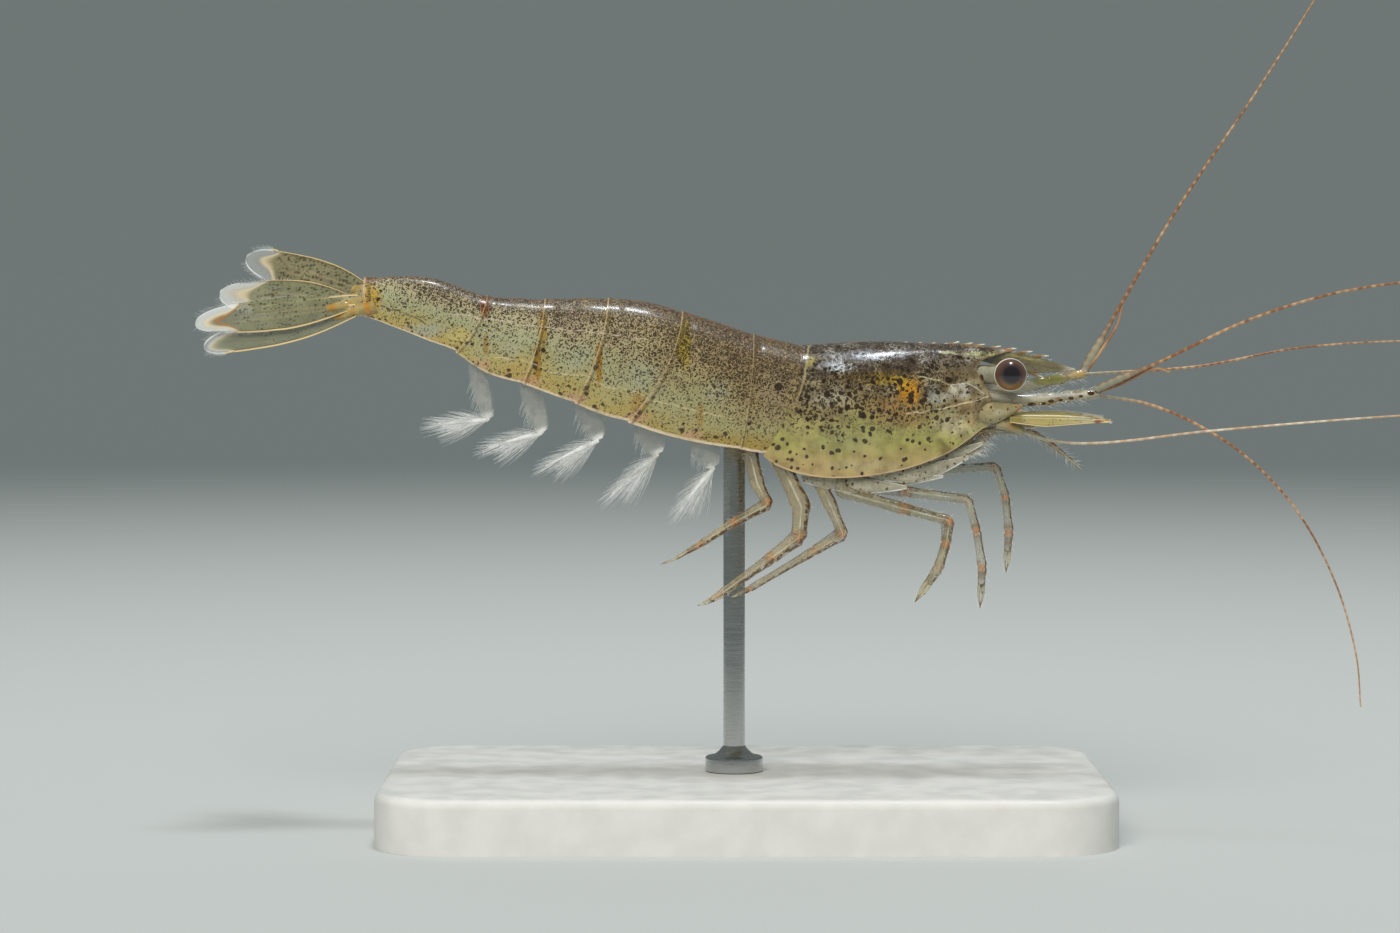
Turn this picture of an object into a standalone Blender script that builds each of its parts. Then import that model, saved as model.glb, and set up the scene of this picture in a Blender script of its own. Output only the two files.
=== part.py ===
"""A swimming shrimp, about 50 mm long, on a plain display stand.

The head points along +X, the back is up (+Z) and the animal's left side is +Y.
The origin is the middle of the underside of the stand's base. Every length
below is in millimetres and every angle in degrees. Each mesh is scaled to
metres when its object is made.
"""

import math

import bmesh
import bpy
from mathutils import Matrix, Vector

# ---------------------------------------------------------------- dimensions

MM = 0.001                    # one millimetre in metres
GAP = 0.05                    # clearance between two pieces that touch
JOINT_GAP = 0.19              # clearance between two sections of the body

# Body: outline from the side, and half its width, along the length.
BACK = ((-21.1, 30.5), (-17.4, 30.45), (-14.3, 29.5), (-10.6, 29.3), (-7.6, 29.35),
        (-5.0, 29.05), (-2.4, 28.3), (0.9, 27.15), (3.2, 26.5))
BELLY = ((-21.1, 28.45), (-18.1, 27.15), (-16.0, 26.4), (-13.6, 25.2), (-10.9, 24.2),
         (-7.8, 23.15), (-4.4, 21.9), (-1.4, 21.1), (1.5, 20.7))
TAIL_HALF_WIDTH = ((-21.1, 0.85), (-18.0, 1.0), (-14.3, 1.35), (-10.9, 1.75), (-7.6, 2.1),
                   (-3.5, 2.35), (0.5, 2.45), (3.2, 2.5))
SHIELD_BACK = ((3.2, 26.75), (6.6, 26.95), (10.0, 26.75), (13.05, 26.4))
SHIELD_BELLY = ((0.7, 21.0), (2.1, 20.25), (4.9, 19.6), (8.2, 19.9), (11.05, 21.0), (13.05, 22.45))
SHIELD_HALF_WIDTH = ((3.2, 2.6), (6.6, 2.95), (10.0, 2.6), (13.05, 1.75))

SHIELD_FRONT = 13.05          # the upright front margin behind the eyes
SHIELD_REAR = (3.2, -2.5)     # rear margin: place on the back, and its sweep at the belly
JOINTS = ((0.45, -0.75), (-3.5, -3.0), (-7.6, -1.8), (-11.1, -1.2), (-14.3, -1.7), (-21.1, 0.0))
SWEEP_POWER = 1.8             # how late the sweep of a margin sets in
OVERLAP_STEP = 0.93           # front of a somite, against the rear of the one before

ARCH_STEPS = 5                # points from the back down to the widest line
WIDEST = 0.42                 # height of the widest line, as a share of the section
MARGIN_TUCK = 0.16            # how far the lower margin draws in
FLAP_THICKNESS = 0.14         # side flap, as a share of the half width
GROOVE = 0.8                  # depth of the hollow between the side flaps

SHIELD_RINGS = 13
SOMITE_RINGS = 5
ROUND_SIDES = 8               # sides of stalks, peduncles and other round pieces of the head

# Rostrum: a thin blade with teeth, in front of the shield.
ROSTRUM_REAR = SHIELD_FRONT + GAP
ROSTRUM_TIP = (18.3, 25.42)
ROSTRUM_ROOT = (26.4, 25.2)   # top and bottom of its root
ROSTRUM_THICKNESS = 0.5
UPPER_TEETH = 5
LOWER_TEETH = 3
TOOTH_HEIGHT = 0.16
TOOTHED_SHARE = 0.85          # part of the upper edge that carries teeth
TOOTH_LEAN = 0.75             # a tooth's point, as a share of the space it stands in
LOWER_TOOTH_LENGTH = 0.35

# Eyes
EYE_RADIUS = 0.93
EYE_SEGMENTS = 14
EYE_BANDS = 9
EYE_CENTRE = (14.55, 1.9, 25.14)
STALK_START = (SHIELD_FRONT + GAP, 0.85, 25.4)
STALK_RADII = (0.4, 0.5, 0.48)

# Antennules: a stout peduncle, then two flagella on each side.
PEDUNCLE = {
    "right": ((13.2, -0.85, 24.0), (15.1, -0.9, 23.75), (17.3, -1.05, 23.9), (19.35, -1.2, 24.05)),
    "left": ((13.2, 0.85, 24.1), (15.5, 0.9, 24.35), (17.4, 1.05, 24.75), (18.95, 1.2, 25.1)),
}
PEDUNCLE_RADII = (0.36, 0.42, 0.34, 0.3)
PEDUNCLE_RINGS = 7

FEELER_THICKNESS = 0.5
FEELERS = {
    "antennule_outer_right": ((19.5, -1.5, 24.5), (22.2, -2.2, 25.5), (27.3, -3.8, 28.15),
                              (32.0, -5.5, 29.7), (38.0, -8.6, 30.5), (45.0, -13.0, 30.4)),
    "antennule_inner_right": ((19.5, -0.85, 23.95), (22.6, -1.0, 23.4), (27.0, -1.5, 21.1),
                              (30.1, -2.1, 18.0), (32.3, -2.7, 14.0), (33.5, -3.3, 9.7),
                              (33.7, -3.6, 7.0)),
    "antennule_outer_left": ((19.1, 1.5, 25.4), (20.9, 2.0, 28.7), (24.2, 3.4, 34.1),
                             (29.3, 6.0, 41.3), (34.8, 9.4, 49.5)),
    "antennule_inner_left": ((19.15, 0.85, 24.85), (25.4, 1.2, 25.55), (30.7, 2.0, 26.5),
                             (36.9, 3.4, 26.9), (44.0, 5.6, 26.8)),
    "antenna_flagellum_right": ((15.0, -1.8, 22.25), (16.7, -2.1, 21.55), (18.7, -2.5, 21.4),
                                (25.3, -4.0, 22.15), (35.1, -7.0, 23.1), (43.0, -10.0, 23.6),
                                (50.0, -13.2, 23.8)),
    "antenna_flagellum_left": ((15.1, 1.8, 22.2), (16.3, 2.7, 22.1), (16.6, 4.4, 22.6),
                               (14.2, 6.8, 23.1), (7.5, 8.6, 23.8), (-3.0, 9.6, 24.8),
                               (-16.0, 9.2, 26.5)),
}
FEELER_RINGS_PER_MM = 0.55
FEELER_SIDES = 6

# Flat blades: the antennal scales and the uropods.
BLADE_THICKNESS = 0.5
BLADE_RINGS = 8
BLADE_WIDEST = 0.6            # the widest place along a blade
BLADE_SECTION = ((0.5, 0.0), (0.3, 0.5), (-0.3, 0.5), (-0.5, 0.0), (-0.3, -0.5), (0.3, -0.5))

# Antennae: a basal block and a flat scale on each side.
ANTENNA_BASE_X = (13.12, 14.9)
ANTENNA_BASE_Y = (1.3, 2.35)
ANTENNA_BASE_Z = (22.15, 23.7)
SCALE_START = (14.97, 1.85, 22.85)
SCALE_LENGTH = 4.85
SCALE_WIDTH = 2.1
SCALE_PITCH = -2.0
SCALE_SPLAY = 4.0
SCALE_ROOT = 0.5              # width of the scale's root, as a share of its widest place

# Mouthparts under the head
MOUTH = ((10.9, 20.3, 20.75, 0.4), (11.9, 20.5, 21.2, 0.62), (12.9, 21.0, 21.9, 0.6),
         (13.7, 21.4, 22.1, 0.4))

# Limbs: the hip, and for each length a width, and a pitch and a splay on each side.
# Pitch turns from +X (0) down (-90); splay leans outwards.
LIMBS = {
    "maxilliped": {
        "hip": (9.3, 1.0, 20.4),
        "lengths": (2.0, 2.2, 3.0, 1.5, 1.8),
        "widths": (0.55, 0.6, 0.6, 0.55, 0.55, 0.5),
        "right": ((5, 1), (42, 1), (-2, 4), (-34, 1), (-40, 0)),
        "left": ((5, 1), (41, 1), (-3, 3), (-32, 1), (-39, 0)),
    },
    "leg_1": {
        "hip": (7.5, 1.1, 20.1),
        "lengths": (1.4, 1.9, 3.5, 1.8, 2.0, 2.3),
        "widths": (0.6, 0.6, 0.6, 0.6, 0.52, 0.58, 0.5),
        "right": ((-114, 7), (-4, 6), (-7, 7), (-75, 7), (-81, 2), (-93, 0)),
        "left": ((-30, 4), (10, 4), (3, 5), (-72, 5), (-84, 1), (-94, 0)),
    },
    "leg_2": {
        "hip": (5.3, 1.35, 20.0),
        "lengths": (1.45, 3.6, 2.6, 1.3, 1.4, 2.3),
        "widths": (0.65, 0.65, 0.65, 0.65, 0.58, 0.65, 0.5),
        "right": ((-91, 28), (-15, 8), (-14, 9), (-100, 4), (-107, 4), (-125, 0)),
        "left": ((-86, 20), (-18, 6), (-15, 6), (-89, 3), (-106, 3), (-124, 0)),
    },
    "leg_3": {
        "hip": (3.6, 1.15, 20.2),
        "lengths": (2.7, 1.7, 1.9, 4.1, 1.2),
        "widths": (0.7, 0.55, 0.52, 0.5, 0.5, 0.5),
        "right": ((-64, 14), (-67, 14), (-152, 6), (-150, 5), (-154, 6)),
        "left": ((-64, 10), (-66, 10), (-144, 4), (-149, 4), (-153, 4)),
    },
    "leg_4": {
        "hip": (1.8, 1.15, 20.65),
        "lengths": (3.3, 1.8, 1.9, 3.7, 1.2),
        "widths": (0.85, 0.75, 0.65, 0.55, 0.5, 0.5),
        "right": ((-65, 24), (-95, 21), (-145, 12), (-145, 9), (-153, 5)),
        "left": ((-65, 17), (-92, 15), (-139, 8), (-144, 6), (-150, 4)),
    },
    "leg_5": {
        "hip": (0.25, 1.1, 20.8),
        "lengths": (1.8, 1.4, 2.2, 2.3, 2.4),
        "widths": (0.7, 0.6, 0.55, 0.5, 0.5, 0.5),
        "right": ((-76, 15), (-62, 28), (-153, 14), (-148, 10), (-150, 7)),
        "left": ((-76, 10), (-64, 20), (-147, 10), (-147, 7), (-150, 5)),
    },
}
JOINT_SWELL = 1.15            # a joint, against the limb beside it
LIMB_SIDES = 6

# Pleopods: the swimmerets under somites 1 to 5, caught in one wave of their stroke.
PLEOPOD_TOP = ((-2.65, 21.8), (-5.7, 22.75), (-8.95, 23.85), (-12.0, 24.6), (-14.9, 25.55))
PLEOPOD_STEM = (2.0, 2.2, 2.5, 2.8, 3.0)
PLEOPOD_STEM_PITCH = (-62, -66, -70, -74, -77)
PLEOPOD_WIDTH = (1.7, 1.7, 1.4, 1.25, 0.95)
PLEOPOD_BRANCH = (3.8, 4.2, 4.0, 3.8, 3.6)
PLEOPOD_BRANCH_PITCH = (-126, -136, -151, -162, -172)
PLEOPOD_Y = (1.2, 1.2, 1.1, 0.95, 0.8)
PLEOPOD_THICKNESS = 0.55
PLEOPOD_SWELL = (0.7, 1.0, 0.9, 0.6)   # widths down the stem, against its widest place
BRANCH_WIDTH = 0.65
BRANCH_RINGS = ((0.12, 0.75), (0.45, 1.0), (0.8, 0.85), (1.0, 0.5))   # place, and share of the width
BRANCH_HALF_THICKNESS = 0.27
FORK_GAP = 0.1                # sideways step of each branch at the fork
BRANCH_SPREAD = 5             # angle between the two branches, seen from behind
BRANCH_FORK = 8               # angle between the two branches, seen from the side

# Tail fan
FAN_ROOT = (-21.5, 0.0, 29.55)
FAN_YAW = 15.0                # the fan's tip swings towards +Y
FAN_PITCH = -4.4
FAN_ROLL = 34.0               # the left side of the fan is raised
FAN_LEVEL = 0.55              # the telson, endopods and exopods lie in three levels
UROPOD_ROOT = 0.3             # width of a uropod's root, as a share of its widest place
UROPODS = {                   # angle, lift, length, width, level, distance of the root from the axis
    "exopod": (23.5, 2.3, 8.3, 2.2, -1.08, 0.82),
    "endopod": (7.5, 0.0, 8.5, 1.9, 0, 0.5),
}
TELSON_LENGTH = 5.6
TELSON_TURN = -5.0            # the telson leans to the right within the fan
TELSON_WIDTHS = (1.2, 1.05, 0.85, 0.55)

# Display stand
BASE_LENGTH = 40.0
BASE_WIDTH = 24.0
BASE_HEIGHT = 3.0
BASE_CORNER = 4.0
BASE_EDGE = 0.5
ROD_X = -0.6
ROD_RADIUS = 0.6
ROD_TOP = 21.65
COLLAR_RADIUS = 1.6
COLLAR_HEIGHT = 0.8
COLLAR_CONE = 0.6             # the collar's cone up to the rod
ROD_SIDES = 16

SIDES = {"right": -1.0, "left": 1.0}


# ---------------------------------------------------------------- scene and materials

def clear_scene():
    """Remove every object, so that the file starts empty."""
    for old in list(bpy.data.objects):
        bpy.data.objects.remove(old, do_unlink=True)


def make_material(name, color, roughness, metallic=0.0):
    """A plain finish for one kind of sub-part."""
    material = bpy.data.materials.new(name)
    material.use_nodes = True
    shader = material.node_tree.nodes["Principled BSDF"]
    shader.inputs["Base Color"].default_value = (*color, 1.0)
    shader.inputs["Roughness"].default_value = roughness
    shader.inputs["Metallic"].default_value = metallic
    return material


def make_parent(name):
    """An empty that carries a group of pieces."""
    empty = bpy.data.objects.new(name, None)
    bpy.context.collection.objects.link(empty)
    return empty


def make_object(bm, name, material, parent, origin=(0.0, 0.0, 0.0)):
    """Close the mesh, scale it to metres and link it with its origin on the given point."""
    holes = [edge for edge in bm.edges if edge.is_boundary]
    if holes:
        bmesh.ops.holes_fill(bm, edges=holes, sides=0)
    bmesh.ops.recalc_face_normals(bm, faces=bm.faces)
    place = Vector(origin)
    bmesh.ops.translate(bm, vec=-place, verts=bm.verts)
    bmesh.ops.scale(bm, vec=(MM, MM, MM), verts=bm.verts)
    mesh = bpy.data.meshes.new(name)
    bm.to_mesh(mesh)
    bm.free()
    mesh.shade_smooth()
    mesh.set_sharp_from_angle(angle=math.radians(40))
    mesh.materials.append(material)
    piece = bpy.data.objects.new(name, mesh)
    piece.location = place * MM
    piece.parent = parent
    bpy.context.collection.objects.link(piece)
    return piece


# ---------------------------------------------------------------- geometry helpers

def value_at(points, x):
    """Read a smooth curve through (x, value) points, listed by rising x."""
    last = len(points) - 2
    i = max(0, min(last, sum(1 for p in points[1:-1] if p[0] <= x)))
    (x0, v0), (x1, v1) = points[i], points[i + 1]
    step = x1 - x0
    mean = (v1 - v0) / step
    before = (v0 - points[i - 1][1]) / (x0 - points[i - 1][0]) if i > 0 else mean
    after = (points[i + 2][1] - v1) / (points[i + 2][0] - x1) if i < last else mean
    slope0 = 0.5 * (before + mean) * step
    slope1 = 0.5 * (after + mean) * step
    t = (x - x0) / step
    return (v0 * (2 * t**3 - 3 * t**2 + 1) + slope0 * (t**3 - 2 * t**2 + t)
            + v1 * (3 * t**2 - 2 * t**3) + slope1 * (t**3 - t**2))


def smooth_path(points, count):
    """Spread points evenly along a smooth curve through the given points."""
    knots = [Vector(p) for p in points]
    lengths = [0.0]
    for a, b in zip(knots, knots[1:]):
        lengths.append(lengths[-1] + (b - a).length)
    axes = [[(s, k[axis]) for s, k in zip(lengths, knots)] for axis in range(3)]
    stops = [lengths[-1] * i / (count - 1) for i in range(count)]
    return [Vector([value_at(axis, s) for axis in axes]) for s in stops]


def lerp(a, b, t):
    """Blend two numbers."""
    return a + (b - a) * t


def direction(pitch, splay, side):
    """Unit vector that turns by pitch from +X in the upright plane and leans outwards."""
    p = math.radians(pitch)
    s = math.radians(splay)
    return Vector((math.cos(p) * math.cos(s), side * math.sin(s), math.sin(p) * math.cos(s)))


def grow(bm, face, ring):
    """Extrude one face and put its corners on the points of a ring."""
    grown = bmesh.ops.extrude_discrete_faces(bm, faces=[face])["faces"][0]
    for vert, point in zip(grown.verts, ring):
        vert.co = point
    return grown


def start_face(bm, ring):
    """A first face with its corners on a ring of points."""
    verts = bmesh.ops.create_circle(bm, segments=len(ring), radius=1.0, cap_ends=True)["verts"]
    for vert, point in zip(verts, ring):
        vert.co = point
    return verts[0].link_faces[0]


def loft(bm, rings):
    """Skin a body over a row of rings. The first face and the last one close it."""
    face = start_face(bm, rings[0])
    order = [min(range(len(rings[0])), key=lambda i: (rings[0][i] - v.co).length)
             for v in face.verts]
    for ring in rings[1:]:
        face = grow(bm, face, [ring[i] for i in order])
    return face


def close_ends(bm):
    """Close both ends of a lofted shell with triangles."""
    holes = [edge for edge in bm.edges if edge.is_boundary]
    if holes:
        bmesh.ops.holes_fill(bm, edges=holes, sides=0)
    caps = [face for face in bm.faces if len(face.verts) > 4]
    bmesh.ops.triangulate(bm, faces=caps, quad_method="BEAUTY", ngon_method="BEAUTY")


def oval(centre, along, width, depth, sides, across=None):
    """A ring square to a direction; width lies along the across vector."""
    ahead = along.normalized()
    wide = (across or Vector((0.0, 1.0, 0.0))) - ahead * ahead.dot(across or Vector((0.0, 1.0, 0.0)))
    wide.normalize()
    deep = ahead.cross(wide)
    ring = []
    for i in range(sides):
        turn = 2.0 * math.pi * i / sides
        ring.append(centre + wide * (0.5 * width * math.cos(turn)) + deep * (0.5 * depth * math.sin(turn)))
    return ring


def tube(points, widths, sides):
    """Rings along a bent path; each stands square to the mean of its two runs, without twist."""
    across = Vector((0.0, 1.0, 0.0))
    rings = []
    for i, point in enumerate(points):
        before = point - points[i - 1] if i > 0 else points[1] - point
        after = points[i + 1] - point if i < len(points) - 1 else before
        along = before.normalized() + after.normalized()
        rings.append(oval(point, along, widths[i], widths[i], sides, across))
        across = rings[-1][0] - point
    return rings


# ---------------------------------------------------------------- body shells

def margin_place(margin, z):
    """Where a swept margin lies along the body at height z."""
    place, sweep = margin
    depth = (value_at(BACK, place) - z) / (value_at(BACK, place) - value_at(BELLY, place + sweep))
    return place + sweep * max(0.0, depth) ** SWEEP_POWER


def body_ring(front, rear, t, shrink, back, belly, half_width):
    """One cross-section: an arch over the back, two side flaps and the hollow between them.

    It lies a share t of the way from the front margin to the rear one.
    """
    place = lerp(front[0], rear[0], t)
    top = value_at(back, place)
    bottom = value_at(belly, place + lerp(front[1], rear[1], t))
    half = value_at(half_width, place) * shrink
    middle = 0.5 * (top + bottom)
    top = middle + (top - middle) * shrink
    bottom = middle + (bottom - middle) * shrink
    height = top - bottom
    outline = []
    for i in range(ARCH_STEPS + 1):
        turn = 0.5 * math.pi * i / ARCH_STEPS
        outline.append((half * math.sin(turn), WIDEST + (1.0 - WIDEST) * math.cos(turn)))
    margin = half * (1.0 - MARGIN_TUCK)
    outline.append((half * (1.0 - 0.3 * MARGIN_TUCK), WIDEST * 0.45))
    outline.append((margin, 0.0))
    outline.append((margin - half * FLAP_THICKNESS, 0.02))
    outline.append((margin - half * FLAP_THICKNESS * 1.4, GROOVE / height))
    mirrored = [(-y, z) for y, z in reversed(outline[1:])]
    ring = []
    for y, share in outline + [(0.0, GROOVE / height)] + mirrored:
        z = bottom + height * share
        ring.append(Vector((lerp(margin_place(front, z), margin_place(rear, z), t), y, z)))
    return ring


def body_shell(name, front, rear, shrink, rings, curves, material, parent):
    """One closed section of the body between two margins, each a (place, sweep) pair."""
    bm = bmesh.new()
    stations = []
    for i in range(rings):
        t = i / (rings - 1)
        stations.append(body_ring(front, rear, t, lerp(shrink, 1.0, min(1.0, 2.0 * t)), *curves))
    loft(bm, stations)
    close_ends(bm)
    return make_object(bm, name, material, parent)


def build_body(material, parent):
    """The head shield and the six somites behind it."""
    shield = (SHIELD_BACK, SHIELD_BELLY, SHIELD_HALF_WIDTH)
    tail = (BACK, BELLY, TAIL_HALF_WIDTH)
    front = (SHIELD_FRONT, 0.0)
    body_shell("carapace", front, SHIELD_REAR, 1.0, SHIELD_RINGS, shield, material, parent)
    margin = SHIELD_REAR
    for number, joint in enumerate(JOINTS, start=1):
        start = (margin[0] - JOINT_GAP, margin[1])
        body_shell(f"somite_{number}", start, joint, OVERLAP_STEP, SOMITE_RINGS, tail,
                   material, parent)
        margin = joint


# ---------------------------------------------------------------- head

def build_rostrum(material, parent):
    """The toothed blade between the eyes."""
    top, bottom = ROSTRUM_ROOT
    tip_x, tip_z = ROSTRUM_TIP
    outline = [(ROSTRUM_REAR, bottom), (ROSTRUM_REAR, top)]
    for i in range(UPPER_TEETH):
        for step, height in ((0.1, 0.0), (TOOTH_LEAN, TOOTH_HEIGHT)):
            share = TOOTHED_SHARE * (i + step) / UPPER_TEETH
            x = lerp(ROSTRUM_REAR, tip_x, share)
            outline.append((x, top + (tip_z - top) * share ** 1.5 + height))
    outline.append((tip_x, tip_z))
    for i in range(LOWER_TEETH):
        x = lerp(tip_x, ROSTRUM_REAR, 0.22 + 0.16 * i)
        z = lerp(tip_z, bottom, 0.3 + 0.2 * i)
        outline.append((x, z - TOOTH_HEIGHT))
        outline.append((x - LOWER_TOOTH_LENGTH, z))
    bm = bmesh.new()
    flat = [Vector((x, -0.5 * ROSTRUM_THICKNESS, z)) for x, z in outline]
    face = start_face(bm, flat)
    order = [min(range(len(flat)), key=lambda i: (flat[i] - v.co).length) for v in face.verts]
    grow(bm, face, [flat[i] + Vector((0.0, ROSTRUM_THICKNESS, 0.0)) for i in order])
    holes = [edge for edge in bm.edges if edge.is_boundary]
    bmesh.ops.holes_fill(bm, edges=holes, sides=0)
    bmesh.ops.triangulate(bm, faces=[f for f in bm.faces if len(f.verts) > 4])
    make_object(bm, "rostrum", material, parent)


def build_eyes(eye_material, stalk_material, parent):
    """A ball and a short stalk on each side."""
    for label, side in SIDES.items():
        centre = Vector((EYE_CENTRE[0], side * EYE_CENTRE[1], EYE_CENTRE[2]))
        bm = bmesh.new()
        bmesh.ops.create_uvsphere(bm, u_segments=EYE_SEGMENTS, v_segments=EYE_BANDS,
                                  radius=EYE_RADIUS, matrix=Matrix.Translation(centre))
        make_object(bm, f"eye_{label}", eye_material, parent, centre)

        start = Vector((STALK_START[0], side * STALK_START[1], STALK_START[2]))
        along = centre - start
        end = centre - along.normalized() * (EYE_RADIUS + 2.0 * GAP)
        bm = bmesh.new()
        rings = []
        for i, radius in enumerate(STALK_RADII):
            t = i / (len(STALK_RADII) - 1)
            heading = Vector((1.0, 0.0, 0.0)).lerp(along.normalized(), t)
            rings.append(oval(start.lerp(end, t), heading, 2.0 * radius, 2.0 * radius, ROUND_SIDES))
        loft(bm, rings)
        make_object(bm, f"eyestalk_{label}", stalk_material, parent, start)


def build_antennules(material, feeler_material, parent):
    """The peduncles of the first feelers, and every long feeler."""
    for label, path in PEDUNCLE.items():
        points = smooth_path(path, PEDUNCLE_RINGS)
        radii = [(i / (len(PEDUNCLE_RADII) - 1), radius) for i, radius in enumerate(PEDUNCLE_RADII)]
        widths = [2.0 * value_at(radii, i / (PEDUNCLE_RINGS - 1)) for i in range(PEDUNCLE_RINGS)]
        bm = bmesh.new()
        loft(bm, tube(points, widths, ROUND_SIDES))
        make_object(bm, f"antennule_{label}", material, parent, points[0])
    for name, path in FEELERS.items():
        length = sum((Vector(b) - Vector(a)).length for a, b in zip(path, path[1:]))
        count = int(length * FEELER_RINGS_PER_MM)
        points = smooth_path(path, count)
        bm = bmesh.new()
        loft(bm, tube(points, [FEELER_THICKNESS] * count, FEELER_SIDES))
        make_object(bm, name, feeler_material, parent, points[0])


def blade_rings(start, along, across, length, width, root):
    """Rings of a flat blade: narrow at its root, widest past the middle, round at its tip."""
    up = along.cross(across).normalized()
    rings = []
    for i in range(BLADE_RINGS):
        t = 1.0 - (1.0 - i / (BLADE_RINGS - 1)) ** 1.4
        swell = root + (1.0 - root) * math.sin(0.5 * math.pi * min(1.0, t / BLADE_WIDEST))
        tip = max(0.0, (t - BLADE_WIDEST) / (1.0 - BLADE_WIDEST))
        wide = width * swell * math.sqrt(max(0.0, 1.0 - (0.97 * tip) ** 2.4))
        wide = max(wide, BLADE_THICKNESS)
        centre = start + along * (length * t)
        ring = []
        for share, level in BLADE_SECTION:
            ring.append(centre + across * (share * wide) + up * (level * BLADE_THICKNESS))
        rings.append(ring)
    return rings


def build_antennae(material, scale_material, parent):
    """The basal blocks and flat scales of the second feelers."""
    for label, side in SIDES.items():
        bm = bmesh.new()
        rings = []
        for x, share in ((ANTENNA_BASE_X[0], 0.85), (0.5 * sum(ANTENNA_BASE_X), 1.0),
                         (ANTENNA_BASE_X[1], 0.9)):
            centre = Vector((x, side * 0.5 * sum(ANTENNA_BASE_Y), 0.5 * sum(ANTENNA_BASE_Z)))
            wide = share * (ANTENNA_BASE_Y[1] - ANTENNA_BASE_Y[0])
            tall = share * (ANTENNA_BASE_Z[1] - ANTENNA_BASE_Z[0])
            rings.append(oval(centre, Vector((1.0, 0.0, 0.0)), wide, tall, ROUND_SIDES))
        loft(bm, rings)
        make_object(bm, f"antenna_base_{label}", material, parent, rings[0][0])

        start = Vector((SCALE_START[0], side * SCALE_START[1], SCALE_START[2]))
        along = direction(SCALE_PITCH, SCALE_SPLAY, side)
        across = Vector((0.0, 0.0, 1.0)).cross(along).normalized()
        bm = bmesh.new()
        loft(bm, blade_rings(start, along, across, SCALE_LENGTH, SCALE_WIDTH, SCALE_ROOT))
        make_object(bm, f"antenna_scale_{label}", scale_material, parent, start)


def build_mouth(material, parent):
    """The closed packet of mouthparts below the head."""
    bm = bmesh.new()
    rings = []
    for x, low, high, half in MOUTH:
        centre = Vector((x, 0.0, 0.5 * (low + high)))
        rings.append(oval(centre, Vector((1.0, 0.0, 0.0)), 2.0 * half, high - low, ROUND_SIDES))
    loft(bm, rings)
    make_object(bm, "mouthparts", material, parent)


# ---------------------------------------------------------------- limbs

def limb_rings(hip, lengths, angles, widths, side):
    """Rings of a jointed limb, with a slight swelling at each joint."""
    points = [hip]
    for length, (pitch, splay) in zip(lengths, angles):
        points.append(points[-1] + direction(pitch, splay, side) * length)
    path = []
    sizes = []
    for i, (a, b) in enumerate(zip(points, points[1:])):
        swell = JOINT_SWELL if i > 0 else 1.0
        path += [a, a.lerp(b, 0.3), a.lerp(b, 0.7)]
        sizes += [widths[i] * swell, widths[i], lerp(widths[i], widths[i + 1], 0.8)]
    path.append(points[-1])
    sizes.append(widths[-1])
    return tube(path, sizes, LIMB_SIDES)


def build_limbs(material, parent):
    """The third maxillipeds and the five pairs of walking legs."""
    for kind, limb in LIMBS.items():
        for label, side in SIDES.items():
            hip = Vector((limb["hip"][0], side * limb["hip"][1], limb["hip"][2]))
            bm = bmesh.new()
            loft(bm, limb_rings(hip, limb["lengths"], limb[label], limb["widths"], side))
            make_object(bm, f"{kind}_{label}", material, parent, hip)


def pleopod_mesh(index, side):
    """A flat stem that forks into two blades, grown from the two halves of its end."""
    x, z = PLEOPOD_TOP[index]
    top = Vector((x, side * PLEOPOD_Y[index], z))
    stem = direction(PLEOPOD_STEM_PITCH[index], 4.0, side)
    knee = top + stem * PLEOPOD_STEM[index]
    outward = Vector((0.0, side, 0.0))
    branch = direction(PLEOPOD_BRANCH_PITCH[index], 0.0, side)
    rings = []
    for i, share in enumerate(PLEOPOD_SWELL):
        t = i / (len(PLEOPOD_SWELL) - 1)
        facing = stem if t < 1.0 else stem + branch
        wide = max(PLEOPOD_WIDTH[index] * share * lerp(1.0, 0.8, t), BRANCH_WIDTH)
        thick = PLEOPOD_THICKNESS * lerp(1.0, 2.0, t)
        rings.append(oval(top.lerp(knee, t), facing, thick, wide, ROUND_SIDES, outward))
    bm = bmesh.new()
    face = loft(bm, rings)

    corners = list(face.verts)
    front = sorted(corners, key=lambda v: abs(v.co.y - knee.y))[:2]
    bmesh.ops.connect_verts(bm, verts=front)
    halves = [f for f in bm.faces if len(f.verts) == 5]
    for half in halves:
        middle = half.calc_center_median()
        lean = 1.0 if (middle.y - knee.y) * side > 0.0 else -1.0
        pitch = PLEOPOD_BRANCH_PITCH[index] - lean * 0.5 * BRANCH_FORK
        along = direction(pitch, lean * BRANCH_SPREAD + 3.0, side)
        length = PLEOPOD_BRANCH[index] * (1.0 if lean > 0.0 else 0.88)
        grow_branch(bm, half, middle + outward * (lean * FORK_GAP), along, length, outward)
    return bm, top


def grow_branch(bm, face, root, along, length, outward):
    """Grow one blade of a pleopod out of a five-sided face."""
    corners = [v.co.copy() for v in face.verts]
    middle = sum(corners, Vector()) / len(corners)
    ahead = along.normalized()
    wide = outward - ahead * ahead.dot(outward)
    wide.normalize()
    deep = ahead.cross(wide)
    spread = [(c - middle) for c in corners]
    turns = [math.atan2(s.dot(deep), s.dot(wide)) for s in spread]
    for t, width in BRANCH_RINGS:
        centre = root + along * (length * t)
        ring = []
        for turn in turns:
            ring.append(centre + wide * (BRANCH_HALF_THICKNESS * math.cos(turn))
                        + deep * (0.5 * BRANCH_WIDTH * width * math.sin(turn)))
        face = grow(bm, face, ring)


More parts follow.
